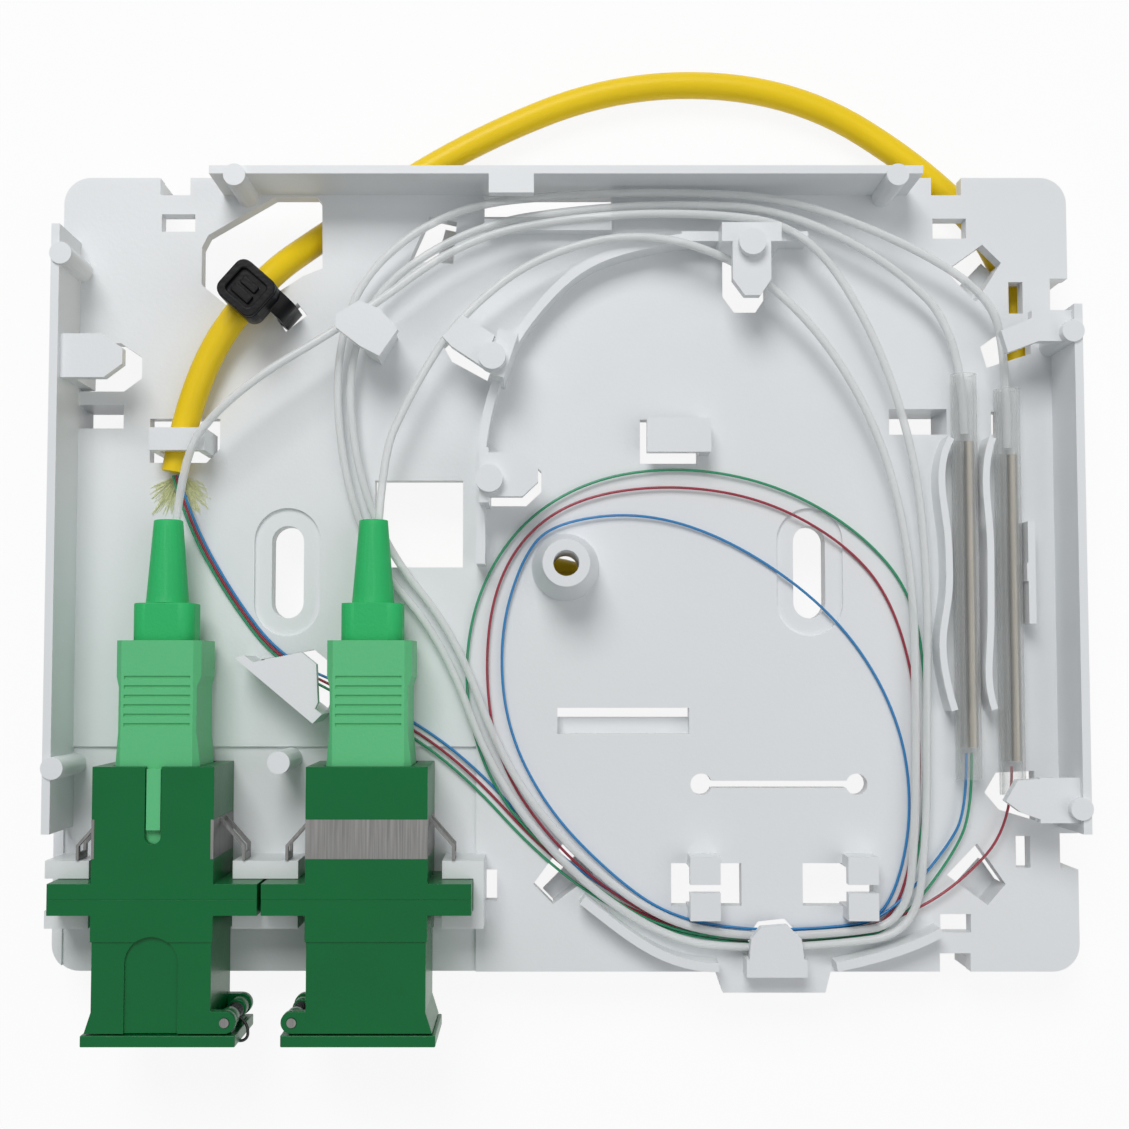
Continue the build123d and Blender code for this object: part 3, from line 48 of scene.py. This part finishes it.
# Camera: the photograph looks straight at the tray from about 16 cm, leaning a little towards
# the top edge, with the picture's middle off the lens's axis.
PHOTO_PX = 1129
FOCAL_PX = 1385
AXIS_PX = (545, 597)
SENSOR_MM = 36
LENS_PLACE = (-2.29, -10.9, 161.4)
LEAN_DEG = 2.8
NEAREST = 0.01
camera = bpy.data.objects.new("camera", bpy.data.cameras.new("camera"))
bpy.context.scene.collection.objects.link(camera)
camera.location = Vector(LENS_PLACE) * MM
camera.rotation_euler = (math.radians(LEAN_DEG), 0, 0)
camera.data.sensor_width = SENSOR_MM
camera.data.lens = SENSOR_MM * FOCAL_PX / PHOTO_PX
camera.data.shift_x = (PHOTO_PX / 2 - AXIS_PX[0]) / PHOTO_PX
camera.data.shift_y = (AXIS_PX[1] - PHOTO_PX / 2) / PHOTO_PX
camera.data.clip_start = NEAREST
bpy.context.scene.camera = camera

# Light and ground: two large soft lamps above, a pale room all round, and a white sheet under
# the tray that is pure white to the camera and in reflections, with a faint shadow kept.
ROOM_STRENGTH = 0.27
SHEET_HALF = 0.6
SHEET_GAP = 0.0004
SHEET_GLOW = 0.9


def whitened(tree, plain, white, output, most=1.0):
    """Join two shaders, the white one for camera, clear and glossy rays and the plain one for light."""
    seen = tree.nodes.new("ShaderNodeLightPath")
    shown = tree.nodes.new("ShaderNodeMath")
    shown.operation = "MAXIMUM"
    either = tree.nodes.new("ShaderNodeMath")
    either.operation = "MAXIMUM"
    share = tree.nodes.new("ShaderNodeMath")
    share.operation = "MULTIPLY"
    share.inputs[1].default_value = most
    mix = tree.nodes.new("ShaderNodeMixShader")
    tree.links.new(seen.outputs["Is Camera Ray"], shown.inputs[0])
    tree.links.new(seen.outputs["Is Transmission Ray"], shown.inputs[1])
    tree.links.new(shown.outputs[0], either.inputs[0])
    tree.links.new(seen.outputs["Is Glossy Ray"], either.inputs[1])
    tree.links.new(either.outputs[0], share.inputs[0])
    tree.links.new(share.outputs[0], mix.inputs["Fac"])
    tree.links.new(plain.outputs[0], mix.inputs[1])
    tree.links.new(white.outputs[0], mix.inputs[2])
    tree.links.new(mix.outputs[0], output.inputs["Surface"])


scene = bpy.context.scene
scene.view_settings.view_transform = "Standard"
world = bpy.data.worlds.new("room")
scene.world = world
world.use_nodes = True
tree = world.node_tree
tree.nodes.clear()
room = tree.nodes.new("ShaderNodeBackground")
room.inputs["Color"].default_value = (0.96, 0.98, 1.0, 1)
room.inputs["Strength"].default_value = ROOM_STRENGTH
white = tree.nodes.new("ShaderNodeBackground")
white.inputs["Color"].default_value = (1, 1, 1, 1)
whitened(tree, room, white, tree.nodes.new("ShaderNodeOutputWorld"))

for name, place, size, watts in (
    ("key_lamp", (-0.12, 0.42, 0.55), 0.32, 2.6),
    ("fill_lamp", (0.40, -0.10, 0.55), 0.5, 0.8),
):
    lamp = bpy.data.objects.new(name, bpy.data.lights.new(name, "AREA"))
    lamp.data.size = size
    lamp.data.energy = watts
    lamp.location = place
    lamp.rotation_euler = (-Vector(place)).to_track_quat("-Z", "Y").to_euler()
    scene.collection.objects.link(lamp)

sheet_mesh = bpy.data.meshes.new("sheet")
sheet_mesh.from_pydata(
    [(-SHEET_HALF, -SHEET_HALF, -SHEET_GAP), (SHEET_HALF, -SHEET_HALF, -SHEET_GAP),
     (SHEET_HALF, SHEET_HALF, -SHEET_GAP), (-SHEET_HALF, SHEET_HALF, -SHEET_GAP)], [], [(0, 1, 2, 3)])
sheet = bpy.data.objects.new("sheet", sheet_mesh)
scene.collection.objects.link(sheet)
paper = bpy.data.materials.new("paper")
paper.use_nodes = True
tree = paper.node_tree
tree.nodes.clear()
matt = tree.nodes.new("ShaderNodeBsdfDiffuse")
matt.inputs["Color"].default_value = (0.95, 0.95, 0.95, 1)
glow = tree.nodes.new("ShaderNodeEmission")
glow.inputs["Color"].default_value = (1, 1, 1, 1)
whitened(tree, matt, glow, tree.nodes.new("ShaderNodeOutputMaterial"), SHEET_GLOW)
sheet_mesh.materials.append(paper)


# Tray: one injection moulding of white plastic, semi-gloss, slightly uneven where thick parts
# shrank behind it, with every wall, rib, post and tongue on the floor plate.
CLOUD_SCALE = 90
GRAIN_SCALE = 2600
GRAIN_DEPTH = 0.00005
BOW_SCALE = 70
BOW_DEPTH = 0.0008
SEEP_DEPTH = 0.0008
GLOSS_LESS = 0.05
GLOSS_MORE = 0.07
WELD_GAP = 0.000002
FLAT_DEG = 0.4
SHARP_DEG = 38


def moulded(name, colour, rough, grain, wave=0.0, sheen=0.0, seep=0.0, speck=0.12, mirror=0.5):
    """Moulded plastic: colour that varies softly and with fine specks, a fine surface grain, a slow
    unevenness from shrinking, and light that seeps a little way in."""
    made = bpy.data.materials.new(name)
    made.use_nodes = True
    nodes, links = made.node_tree.nodes, made.node_tree.links
    body = nodes["Principled BSDF"]
    where = nodes.new("ShaderNodeTexCoord")
    cloud = nodes.new("ShaderNodeTexNoise")
    cloud.inputs["Scale"].default_value = CLOUD_SCALE
    cloud.inputs["Detail"].default_value = 4
    tint = nodes.new("ShaderNodeMapRange")
    tint.inputs["To Min"].default_value = 1 - speck
    tint.inputs["To Max"].default_value = 1 + speck / 2
    shade = nodes.new("ShaderNodeHueSaturation")
    shade.inputs["Color"].default_value = (*colour, 1)
    fine = nodes.new("ShaderNodeTexNoise")
    fine.inputs["Scale"].default_value = GRAIN_SCALE
    fine.inputs["Detail"].default_value = 2
    slow = nodes.new("ShaderNodeTexNoise")
    slow.inputs["Scale"].default_value = BOW_SCALE
    bump = nodes.new("ShaderNodeBump")
    bump.inputs["Strength"].default_value = grain
    bump.inputs["Distance"].default_value = GRAIN_DEPTH
    bow = nodes.new("ShaderNodeBump")
    bow.inputs["Strength"].default_value = wave
    bow.inputs["Distance"].default_value = BOW_DEPTH
    gloss = nodes.new("ShaderNodeMapRange")
    gloss.inputs["To Min"].default_value = rough - GLOSS_LESS
    gloss.inputs["To Max"].default_value = rough + GLOSS_MORE
    for texture in (cloud, fine, slow):
        links.new(where.outputs["Object"], texture.inputs["Vector"])
    links.new(cloud.outputs["Fac"], tint.inputs["Value"])
    links.new(tint.outputs["Result"], shade.inputs["Value"])
    links.new(shade.outputs["Color"], body.inputs["Base Color"])
    links.new(slow.outputs["Fac"], bow.inputs["Height"])
    links.new(fine.outputs["Fac"], bump.inputs["Height"])
    links.new(bow.outputs["Normal"], bump.inputs["Normal"])
    links.new(bump.outputs["Normal"], body.inputs["Normal"])
    links.new(cloud.outputs["Fac"], gloss.inputs["Value"])
    links.new(gloss.outputs["Result"], body.inputs["Roughness"])
    body.inputs["Specular IOR Level"].default_value = mirror
    body.inputs["Sheen Weight"].default_value = sheen
    body.inputs["Subsurface Weight"].default_value = seep
    body.inputs["Subsurface Radius"].default_value = (1, 1, 1)
    body.inputs["Subsurface Scale"].default_value = SEEP_DEPTH
    return made


def finish(material, *names, edge=0.0):
    """Give CAD nodes a material on every face, and round their sharp edges by a width in mm."""
    for name in names:
        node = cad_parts[name]
        node.data.materials.clear()
        node.data.materials.append(material)
        if edge:
            weld = node.modifiers.new("weld", "WELD")
            weld.merge_threshold = WELD_GAP
            flat = node.modifiers.new("flat", "DECIMATE")
            flat.decimate_type = "DISSOLVE"
            flat.angle_limit = math.radians(FLAT_DEG)
            soft = node.modifiers.new("soft", "BEVEL")
            soft.width = edge * MM
            soft.segments = 2
            soft.limit_method = "ANGLE"
            soft.angle_limit = math.radians(SHARP_DEG)
            soft.use_clamp_overlap = True
            soft.harden_normals = True


tray_white = moulded("tray_white", (0.825, 0.845, 0.86), 0.36, 0.25, wave=0.12, seep=0.04, speck=0.02)
finish(tray_white, "base_tray", edge=0.16)

# Adapters: two dark green shells of hard plastic face to face, moulded with a fine matt grain,
# with the shutter door of the same plastic.
adapter_green = moulded("adapter_green", (0.002, 0.148, 0.038), 0.28, 0.35, wave=0.4, seep=0.04, speck=0.14,
                        mirror=0.22)
for side in ("left", "right"):
    finish(adapter_green, f"adapter_{side}_plug_shell", f"adapter_{side}_port_shell",
           f"adapter_{side}_shutter", edge=0.12)

# Latches and plug frames: natural, unpigmented plastic, a pale warm grey with a dull skin, that
# shows in the mouths of the adapters.
pale = moulded("latch_pale", (0.60, 0.60, 0.56), 0.45, 0.3, speck=0.04)
for side in ("left", "right"):
    finish(pale, f"adapter_{side}_plug_latch", f"adapter_{side}_port_latch", f"plug_{side}_frame")

# Steel: clips, pins, crimp rings and plug springs, drawn or rolled, with fine streaks along
# the metal that stretch the highlights.
STREAK_STRETCH = (5200, 130, 1500)
STREAK_DEPTH = 0.00002
STEEL_DARK = (0.16, 0.16, 0.158, 1)
STEEL_LIGHT = (0.25, 0.247, 0.24, 1)
steel = bpy.data.materials.new("rolled_steel")
steel.use_nodes = True
nodes, links = steel.node_tree.nodes, steel.node_tree.links
body = nodes["Principled BSDF"]
body.inputs["Metallic"].default_value = 1
where = nodes.new("ShaderNodeTexCoord")
stretch = nodes.new("ShaderNodeMapping")
stretch.inputs["Scale"].default_value = STREAK_STRETCH
streak = nodes.new("ShaderNodeTexNoise")
streak.inputs["Scale"].default_value = 1
streak.inputs["Detail"].default_value = 3
rough = nodes.new("ShaderNodeMapRange")
rough.inputs["To Min"].default_value = 0.34
rough.inputs["To Max"].default_value = 0.46
bump = nodes.new("ShaderNodeBump")
bump.inputs["Strength"].default_value = 0.1
bump.inputs["Distance"].default_value = STREAK_DEPTH
links.new(where.outputs["Object"], stretch.inputs["Vector"])
links.new(stretch.outputs["Vector"], streak.inputs["Vector"])
tone = nodes.new("ShaderNodeValToRGB")
tone.color_ramp.elements[0].color = STEEL_DARK
tone.color_ramp.elements[0].position = 0.3
tone.color_ramp.elements[1].color = STEEL_LIGHT
tone.color_ramp.elements[1].position = 0.72
links.new(streak.outputs["Fac"], tone.inputs["Fac"])
links.new(tone.outputs["Color"], body.inputs["Base Color"])
links.new(streak.outputs["Fac"], rough.inputs["Value"])
links.new(rough.outputs["Result"], body.inputs["Roughness"])
links.new(streak.outputs["Fac"], bump.inputs["Height"])
links.new(bump.outputs["Normal"], body.inputs["Normal"])
for side in ("left", "right"):
    finish(steel, f"adapter_{side}_clip", f"adapter_{side}_hinge_pin", f"plug_{side}_ferrule_hub",
           f"plug_{side}_spring", f"plug_{side}_back_stop", f"plug_{side}_crimp_ring")

# Rods of the splice sleeves: plain drawn steel wire, duller and browner than the clips, that
# stiffens each sleeve.
ROD_DARK = (0.24, 0.215, 0.175, 1)
ROD_LIGHT = (0.36, 0.325, 0.265, 1)
rod_steel = steel.copy()
rod_steel.name = "rod_steel"
rod_tone = next(node for node in rod_steel.node_tree.nodes if node.type == "VALTORGB")
rod_tone.color_ramp.elements[0].color = ROD_DARK
rod_tone.color_ramp.elements[1].color = ROD_LIGHT
for side in ("left", "right"):
    finish(rod_steel, f"splice_{side}_steel_rod")

# Springs of the shutter doors: fine steel wire, blackened, wound round each hinge pin with
# both legs spread out.
black = moulded("blackened_wire", (0.012, 0.012, 0.013), 0.35, 0.2)
for side in ("left", "right"):
    finish(black, f"adapter_{side}_shutter_spring")

# Ceramic: the plugs' ferrules and the adapters' split sleeves, ground and polished zirconia of
# a creamy white.
ceramic = moulded("ceramic", (0.84, 0.83, 0.78), 0.18, 0.05, speck=0.02)
for side in ("left", "right"):
    finish(ceramic, f"plug_{side}_ferrule", f"adapter_{side}_split_sleeve")

# Plugs: sliding grips of bright green plastic with a satin grain, and boots of a softer,
# deeper green rubbery plastic.
grip_green = moulded("grip_green", (0.125, 0.565, 0.24), 0.42, 0.45, wave=0.15, seep=0.05, speck=0.05,
                     mirror=0.3)
boot_green = moulded("boot_green", (0.030, 0.50, 0.150), 0.5, 0.7, seep=0.06, speck=0.05, mirror=0.25)
for side in ("left", "right"):
    finish(grip_green, f"plug_{side}_grip", edge=0.15)
    finish(boot_green, f"plug_{side}_boot", edge=0.15)

# Splice sleeves: clear shrunk tubes, slightly milky, over a melt tube and the steel rod, so
# that what they hold shows through.
clear = bpy.data.materials.new("clear_tube")
clear.use_nodes = True
nodes, links = clear.node_tree.nodes, clear.node_tree.links
body = nodes["Principled BSDF"]
body.inputs["Base Color"].default_value = (0.82, 0.84, 0.83, 1)
body.inputs["Roughness"].default_value = 0.12
body.inputs["IOR"].default_value = 1.3
thru = nodes.new("ShaderNodeBsdfTransparent")
mix = nodes.new("ShaderNodeMixShader")
facing = nodes.new("ShaderNodeLayerWeight")
facing.inputs["Blend"].default_value = 0.35
edge = nodes.new("ShaderNodeMapRange")
edge.inputs["To Min"].default_value = 0.10
edge.inputs["To Max"].default_value = 0.62
links.new(facing.outputs["Facing"], edge.inputs["Value"])
links.new(edge.outputs["Result"], mix.inputs["Fac"])
links.new(thru.outputs[0], mix.inputs[1])
links.new(body.outputs[0], mix.inputs[2])
links.new(mix.outputs[0], nodes["Material Output"].inputs["Surface"])
for side in ("left", "right"):
    finish(clear, f"splice_{side}_outer_tube", f"splice_{side}_melt_tube")


# Incoming cable: yellow jacket, 3 mm thick, smooth with a waxy gloss, from its stripped end under
# the bridge, through the large opening and round under the plate.
CABLE_RADIUS = 1.5


def strand(name, points, radius, material):
    """A round strand on one smooth line, with the points as the line's control points."""
    data = bpy.data.curves.new(name, "CURVE")
    data.dimensions = "3D"
    data.bevel_depth = radius * MM
    data.bevel_resolution = 5
    data.resolution_u = 10
    data.use_fill_caps = True
    line = data.splines.new("NURBS")
    line.points.add(len(points) - 1)
    for control, place in zip(line.points, points):
        control.co = (*(value * MM for value in place), 1)
    line.order_u = 3
    line.use_endpoint_u = True
    data.materials.append(material)
    made = bpy.data.objects.new(name, data)
    scene.collection.objects.link(made)
    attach(made, "tray")
    return made


jacket = moulded("jacket_yellow", (0.92, 0.64, 0.006), 0.4, 0.35, wave=0.25, seep=0.02, speck=0.06,
                 mirror=0.3)
CABLE = [
    (-43.5, 10.5, 7.95), (-41.8, 20.8, 7.95), (-34.4, 31.6, 8.9), (-27.5, 39.6, 1.6),
    (-11.5, 50.2, 1.6), (7.0, 57.6, 1.6), (27.0, 56.6, 1.6), (42.5, 46.8, 1.6), (52.4, 35.6, 1.6),
    (52.8, 18.0, 1.6), (52.2, 1.0, 1.6), (42.5, -11.5, 1.6), (26.0, -12.2, 1.6), (11.0, -4.5, 1.6),
    (-3.0, 1.4, 1.6), (-14.0, -2.6, 1.6), (-24.0, -9.0, 1.6)]
cable = strand("cable", CABLE, CABLE_RADIUS, jacket)
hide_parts("feed_cable")

# Pigtails: milky white 0.9 mm tubes of soft plastic over a fibre, each once round the tray and
# into a splice sleeve, faintly see-through at the middle.
PIGTAIL_RADIUS = 0.45
milky = moulded("buffer_milky", (0.88, 0.90, 0.90), 0.25, 0.2, speck=0.03)
nodes, links = milky.node_tree.nodes, milky.node_tree.links
thru = nodes.new("ShaderNodeBsdfTransparent")
veil = nodes.new("ShaderNodeMixShader")
facing = nodes.new("ShaderNodeLayerWeight")
facing.inputs["Blend"].default_value = 0.4
rim = nodes.new("ShaderNodeMapRange")
rim.inputs["To Min"].default_value = 0.62
rim.inputs["To Max"].default_value = 0.92
links.new(facing.outputs["Facing"], rim.inputs["Value"])
links.new(rim.outputs["Result"], veil.inputs["Fac"])
links.new(thru.outputs[0], veil.inputs[1])
links.new(nodes["Principled BSDF"].outputs[0], veil.inputs[2])
links.new(veil.outputs[0], nodes["Material Output"].inputs["Surface"])
PIGTAILS = {
    "left": [
        (-43.4, -16.8, 10.7), (-43.4, 10.0, 10.7), (-36.5, 18.5, 12.8), (-23.0, 27.0, 11.3),
        (-11.0, 36.3, 10.6), (2.5, 38.8, 10.3), (15.5, 39.1, 10.35), (26.5, 37.6, 10.2),
        (34.0, 26.5, 9.6), (38.8, 12.5, 8.8), (40.2, -2.0, 8.0), (39.9, -16.5, 7.9),
        (39.7, -29.0, 8.1), (38.3, -40.3, 8.2), (29.0, -41.6, 7.8), (20.0, -42.0, 7.65),
        (11.5, -41.2, 7.7), (1.2, -34.6, 7.65), (-8.0, -23.5, 7.65), (-13.6, -8.2, 7.6),
        (-21.7, 1.0, 7.6), (-25.0, 11.5, 7.9), (-25.7, 23.3, 8.4), (-22.6, 33.0, 8.8),
        (-12.5, 40.3, 9.0), (1.0, 41.6, 9.1), (13.0, 41.75, 9.3), (25.0, 41.0, 9.5),
        (37.5, 36.0, 9.8), (46.5, 30.5, 9.6), (49.3, 24.8, 8.0), (49.3, 13.2, 7.85)],
    "right": [
        (-21.0, -16.8, 10.7), (-21.0, 10.0, 10.7), (-16.8, 19.5, 10.4), (-11.8, 27.5, 10.2),
        (-3.0, 34.5, 10.2), (9.0, 37.2, 10.25), (20.5, 33.2, 10.2), (29.5, 24.5, 9.6),
        (35.8, 12.5, 8.8), (38.6, -1.5, 8.0), (38.7, -15.5, 7.9), (38.5, -28.0, 8.1),
        (37.4, -39.2, 8.2), (29.5, -40.4, 7.8), (19.0, -40.8, 7.65), (10.0, -38.8, 7.7),
        (0.4, -31.3, 7.65), (-7.0, -21.8, 7.65), (-12.2, -7.6, 7.65), (-20.0, 1.9, 7.6),
        (-23.5, 11.8, 7.9), (-24.3, 22.6, 8.4), (-20.9, 31.4, 8.8), (-10.0, 38.2, 9.0),
        (2.5, 40.0, 9.1), (13.0, 40.4, 9.3), (24.0, 39.8, 9.5), (35.8, 34.0, 9.6), (44.5, 26.0, 8.0),
        (44.5, 14.8, 7.85)],
}
for side, length in (("left", 0.388), ("right", 0.348)):
    pigtail = strand(f"pigtail_strand_{side}", PIGTAILS[side], PIGTAIL_RADIUS, milky)
    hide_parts(f"pigtail_{side}")

# Bare fibres: glass in a thin coat of green, red or blue lacquer, springing from the cable's
# end round the middle of the tray to the sleeves.
FIBRE_RADIUS = 0.15
FIBRES = {
    "green": [
        (-43.75, 10.2, 7.9), (-42.6, 5.3, 7.2), (-37.9, -3.3, 6.7), (-32.3, -10.6, 6.6),
        (-24.0, -14.9, 6.62), (-12.8, -21.4, 6.6), (-1.6, -33.6, 6.62), (9.0, -39.9, 6.6),
        (20.0, -41.9, 6.62), (30.5, -41.3, 6.6), (37.2, -40.0, 6.62), (40.0, -28.0, 6.6),
        (40.3, -14.0, 6.62), (39.0, -3.0, 6.6), (32.6, 4.4, 6.8), (23.0, 9.6, 6.95),
        (12.0, 11.4, 6.95), (1.5, 9.5, 6.95), (-6.5, 3.6, 6.95), (-11.0, -6.0, 6.95),
        (-11.0, -17.5, 6.95), (-6.4, -27.5, 6.95), (2.0, -34.6, 6.95), (10.0, -39.9, 6.95),
        (20.0, -41.3, 6.95), (29.9, -41.0, 6.95), (36.8, -39.6, 6.95), (42.7, -32.2, 6.95),
        (44.8, -27.0, 7.85), (44.8, -20.6, 7.85)],
    "red": [
        (-43.42, 10.2, 7.9), (-42.27, 5.45, 7.2), (-37.6, -3.12, 6.7), (-32.02, -10.38, 6.6),
        (-23.7, -14.3, 6.62), (-12.3, -20.8, 6.6), (-1.2, -33.0, 6.62), (9.3, -39.3, 6.6),
        (20.0, -41.3, 6.62), (30.2, -40.7, 6.6), (36.4, -39.5, 6.62), (39.3, -28.5, 6.6),
        (39.4, -15.0, 6.62), (36.6, -3.6, 6.6), (31.2, 2.8, 6.8), (22.2, 7.7, 6.95),
        (12.0, 9.3, 6.95), (2.0, 8.0, 6.95), (-4.5, 3.9, 6.95), (-8.2, -3.0, 6.95),
        (-9.0, -12.5, 6.95), (-7.4, -22.0, 6.95), (-1.5, -30.6, 6.95), (6.0, -36.9, 6.95),
        (13.0, -40.0, 6.95), (20.0, -40.8, 6.95), (29.8, -40.4, 7.0), (36.6, -38.9, 7.4),
        (43.2, -35.2, 7.4), (49.2, -28.6, 7.85), (49.2, -22.1, 7.85)],
    "blue": [
        (-43.09, 10.2, 7.9), (-41.94, 5.6, 7.2), (-37.3, -2.94, 6.7), (-31.74, -10.16, 6.6),
        (-23.4, -13.7, 6.62), (-11.8, -20.2, 6.6), (-0.8, -32.4, 6.62), (9.6, -38.7, 6.6),
        (20.0, -40.7, 6.62), (29.9, -40.1, 6.6), (35.6, -38.9, 6.62), (38.6, -28.5, 6.6),
        (37.4, -17.0, 6.62), (31.0, -6.0, 6.6), (20.0, 2.4, 6.8), (9.0, 6.3, 6.95), (-1.5, 5.0, 6.95),
        (-5.0, 0.8, 6.95), (-7.4, -7.8, 6.95), (-6.6, -18.0, 6.95), (-2.0, -27.0, 6.95),
        (5.2, -34.3, 6.95), (11.5, -38.7, 6.95), (20.0, -40.2, 6.95), (29.6, -39.9, 6.95),
        (35.4, -38.9, 6.95), (42.2, -31.2, 6.95), (44.2, -26.8, 7.85), (44.2, -20.6, 7.85)],
}
FIBRE_COLOURS = {"green": (0.02, 0.30, 0.14), "red": (0.33, 0.02, 0.045), "blue": (0.02, 0.22, 0.52)}
for colour, points in FIBRES.items():
    coat = moulded(f"coat_{colour}", FIBRE_COLOURS[colour], 0.25, 0.1, speck=0.04)
    fibre = strand(f"fibre_strand_{colour}", points, FIBRE_RADIUS, coat)
    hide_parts(f"fibre_{colour}")

# Strength yarn: loose pale yellow filaments of aramid, cut short and teased out flat below the
# cable's stripped end.
yarn_look = moulded("yarn_pale", (0.88, 0.90, 0.50), 0.7, 0.3, sheen=0.4, seep=0.2, speck=0.04)
YARN_RADIUS = 0.028
YARN_STRANDS = 220
YARN_ROOT_X = -43.3
YARN_ROOT_HALF = 0.5
YARN_REACH = (0.4, 3.0)
YARN_SWAY = 0.35
YARN_MARGIN = 0.1
low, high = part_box("yarn_tuft")
random.seed(7)
yarn_data = bpy.data.curves.new("yarn", "CURVE")
yarn_data.dimensions = "3D"
yarn_data.bevel_depth = YARN_RADIUS * MM
yarn_data.bevel_resolution = 1
root_y = high[1]
for index in range(YARN_STRANDS):
    way = random.choice((-1, 1))
    root_x = (YARN_ROOT_X + random.uniform(-YARN_ROOT_HALF, YARN_ROOT_HALF)) * MM
    tip_x = root_x + way * random.uniform(*YARN_REACH) * MM
    tip_y = low[1] + random.uniform(0.15, 0.8) * (high[1] - low[1])
    tip_x = min(max(tip_x, low[0] + YARN_MARGIN * MM), high[0] - YARN_MARGIN * MM)
    lift = random.uniform(0.1, 0.9)
    line = yarn_data.splines.new("NURBS")
    line.points.add(3)
    for control, share in zip(line.points, (0, 0.35, 0.7, 1)):
        sway = random.uniform(-YARN_SWAY, YARN_SWAY) * MM * share
        control.co = (root_x + (tip_x - root_x) * share + sway, root_y + (tip_y - root_y) * share + sway,
                      low[2] + (high[2] - low[2]) * (lift * (1 - share) + 0.15), 1)
    line.order_u = 3
    line.use_endpoint_u = True
yarn_data.materials.append(yarn_look)
yarn = bpy.data.objects.new("yarn", yarn_data)
scene.collection.objects.link(yarn)
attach(yarn, "tray")
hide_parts("yarn_tuft")

# Cable tie: black nylon, with a shiny strap that goes down through its slot, and a moulded head
# whose raised rim stands round the mouth, where the pawl holds the strap's end.
nylon = moulded("tie_black", (0.004, 0.004, 0.005), 0.28, 0.5, speck=0.1, mirror=0.14)
finish(nylon, "cable_tie", edge=0.25)
TIE_MIDDLE = (-33.51, 30.43)
HEAD_TOP = 13.2
HEAD_OVER = 0.4
HEAD_ALONG = -1.2
CORNER_STEPS = 7
CORNER_STEP_DEG = 15
SOFT_EDGE = 0.14
SOFT_FROM_DEG = 50
along = Vector((0.66, 0.751, 0)).normalized()
over = Vector((-0.751, 0.66, 0)).normalized()
head_middle = Vector((*TIE_MIDDLE, HEAD_TOP)) + HEAD_OVER * over + HEAD_ALONG * along


def tie_block(name, half_over, half_along, corner, low, high, mouth=None, shift=0.0):
    """A block on the tie's head with round corners, and a mouth through it where one is given."""
    def outline(half_a, half_b, radius):
        corners = ((1, 1, 0), (-1, 1, 90), (-1, -1, 180), (1, -1, 270))
        points = []
        for way_a, way_b, start in corners:
            for step in range(CORNER_STEPS):
                turn = math.radians(start + step * CORNER_STEP_DEG)
                points.append(((half_a - radius) * way_a + radius * math.cos(turn),
                               (half_b - radius) * way_b + radius * math.sin(turn)))
        return points

    rings = [outline(half_over, half_along, corner)]
    if mouth:
        rings.append(outline(*mouth))
    mesh = bmesh.new()
    levels = [[[mesh.verts.new((head_middle + over * a + along * (b + shift) + Vector((0, 0, level))) * MM)
                for a, b in ring] for ring in rings] for level in (low, high)]
    count = len(rings[0])
    for index in range(count):
        after = (index + 1) % count
        bottom, top = levels
        mesh.faces.new((bottom[0][index], bottom[0][after], top[0][after], top[0][index]))
        if mouth:
            mesh.faces.new((top[1][index], top[1][after], bottom[1][after], bottom[1][index]))
            mesh.faces.new((top[0][index], top[0][after], top[1][after], top[1][index]))
            mesh.faces.new((bottom[1][index], bottom[1][after], bottom[0][after], bottom[0][index]))
    if not mouth:
        mesh.faces.new(levels[1][0])
        mesh.faces.new(levels[0][0][::-1])
    bmesh.ops.recalc_face_normals(mesh, faces=mesh.faces)
    data = bpy.data.meshes.new(name)
    mesh.to_mesh(data)
    mesh.free()
    made = bpy.data.objects.new(name, data)
    scene.collection.objects.link(made)
    data.materials.append(nylon)
    soft = made.modifiers.new("soft", "BEVEL")
    soft.width = SOFT_EDGE * MM
    soft.segments = 3
    soft.limit_method = "ANGLE"
    soft.angle_limit = math.radians(SOFT_FROM_DEG)
    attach(made, "tray")
    return made


tie_block("tie_rim", 2.65, 2.45, 1.1, -0.1, 0.5, mouth=(1.8, 1.6, 0.5))
tie_block("tie_pawl", 1.05, 0.45, 0.2, -0.1, 0.3, shift=0.5)
tie_block("tie_strap_end", 1.25, 0.5, 0.15, -0.1, 0.42, shift=-0.75)
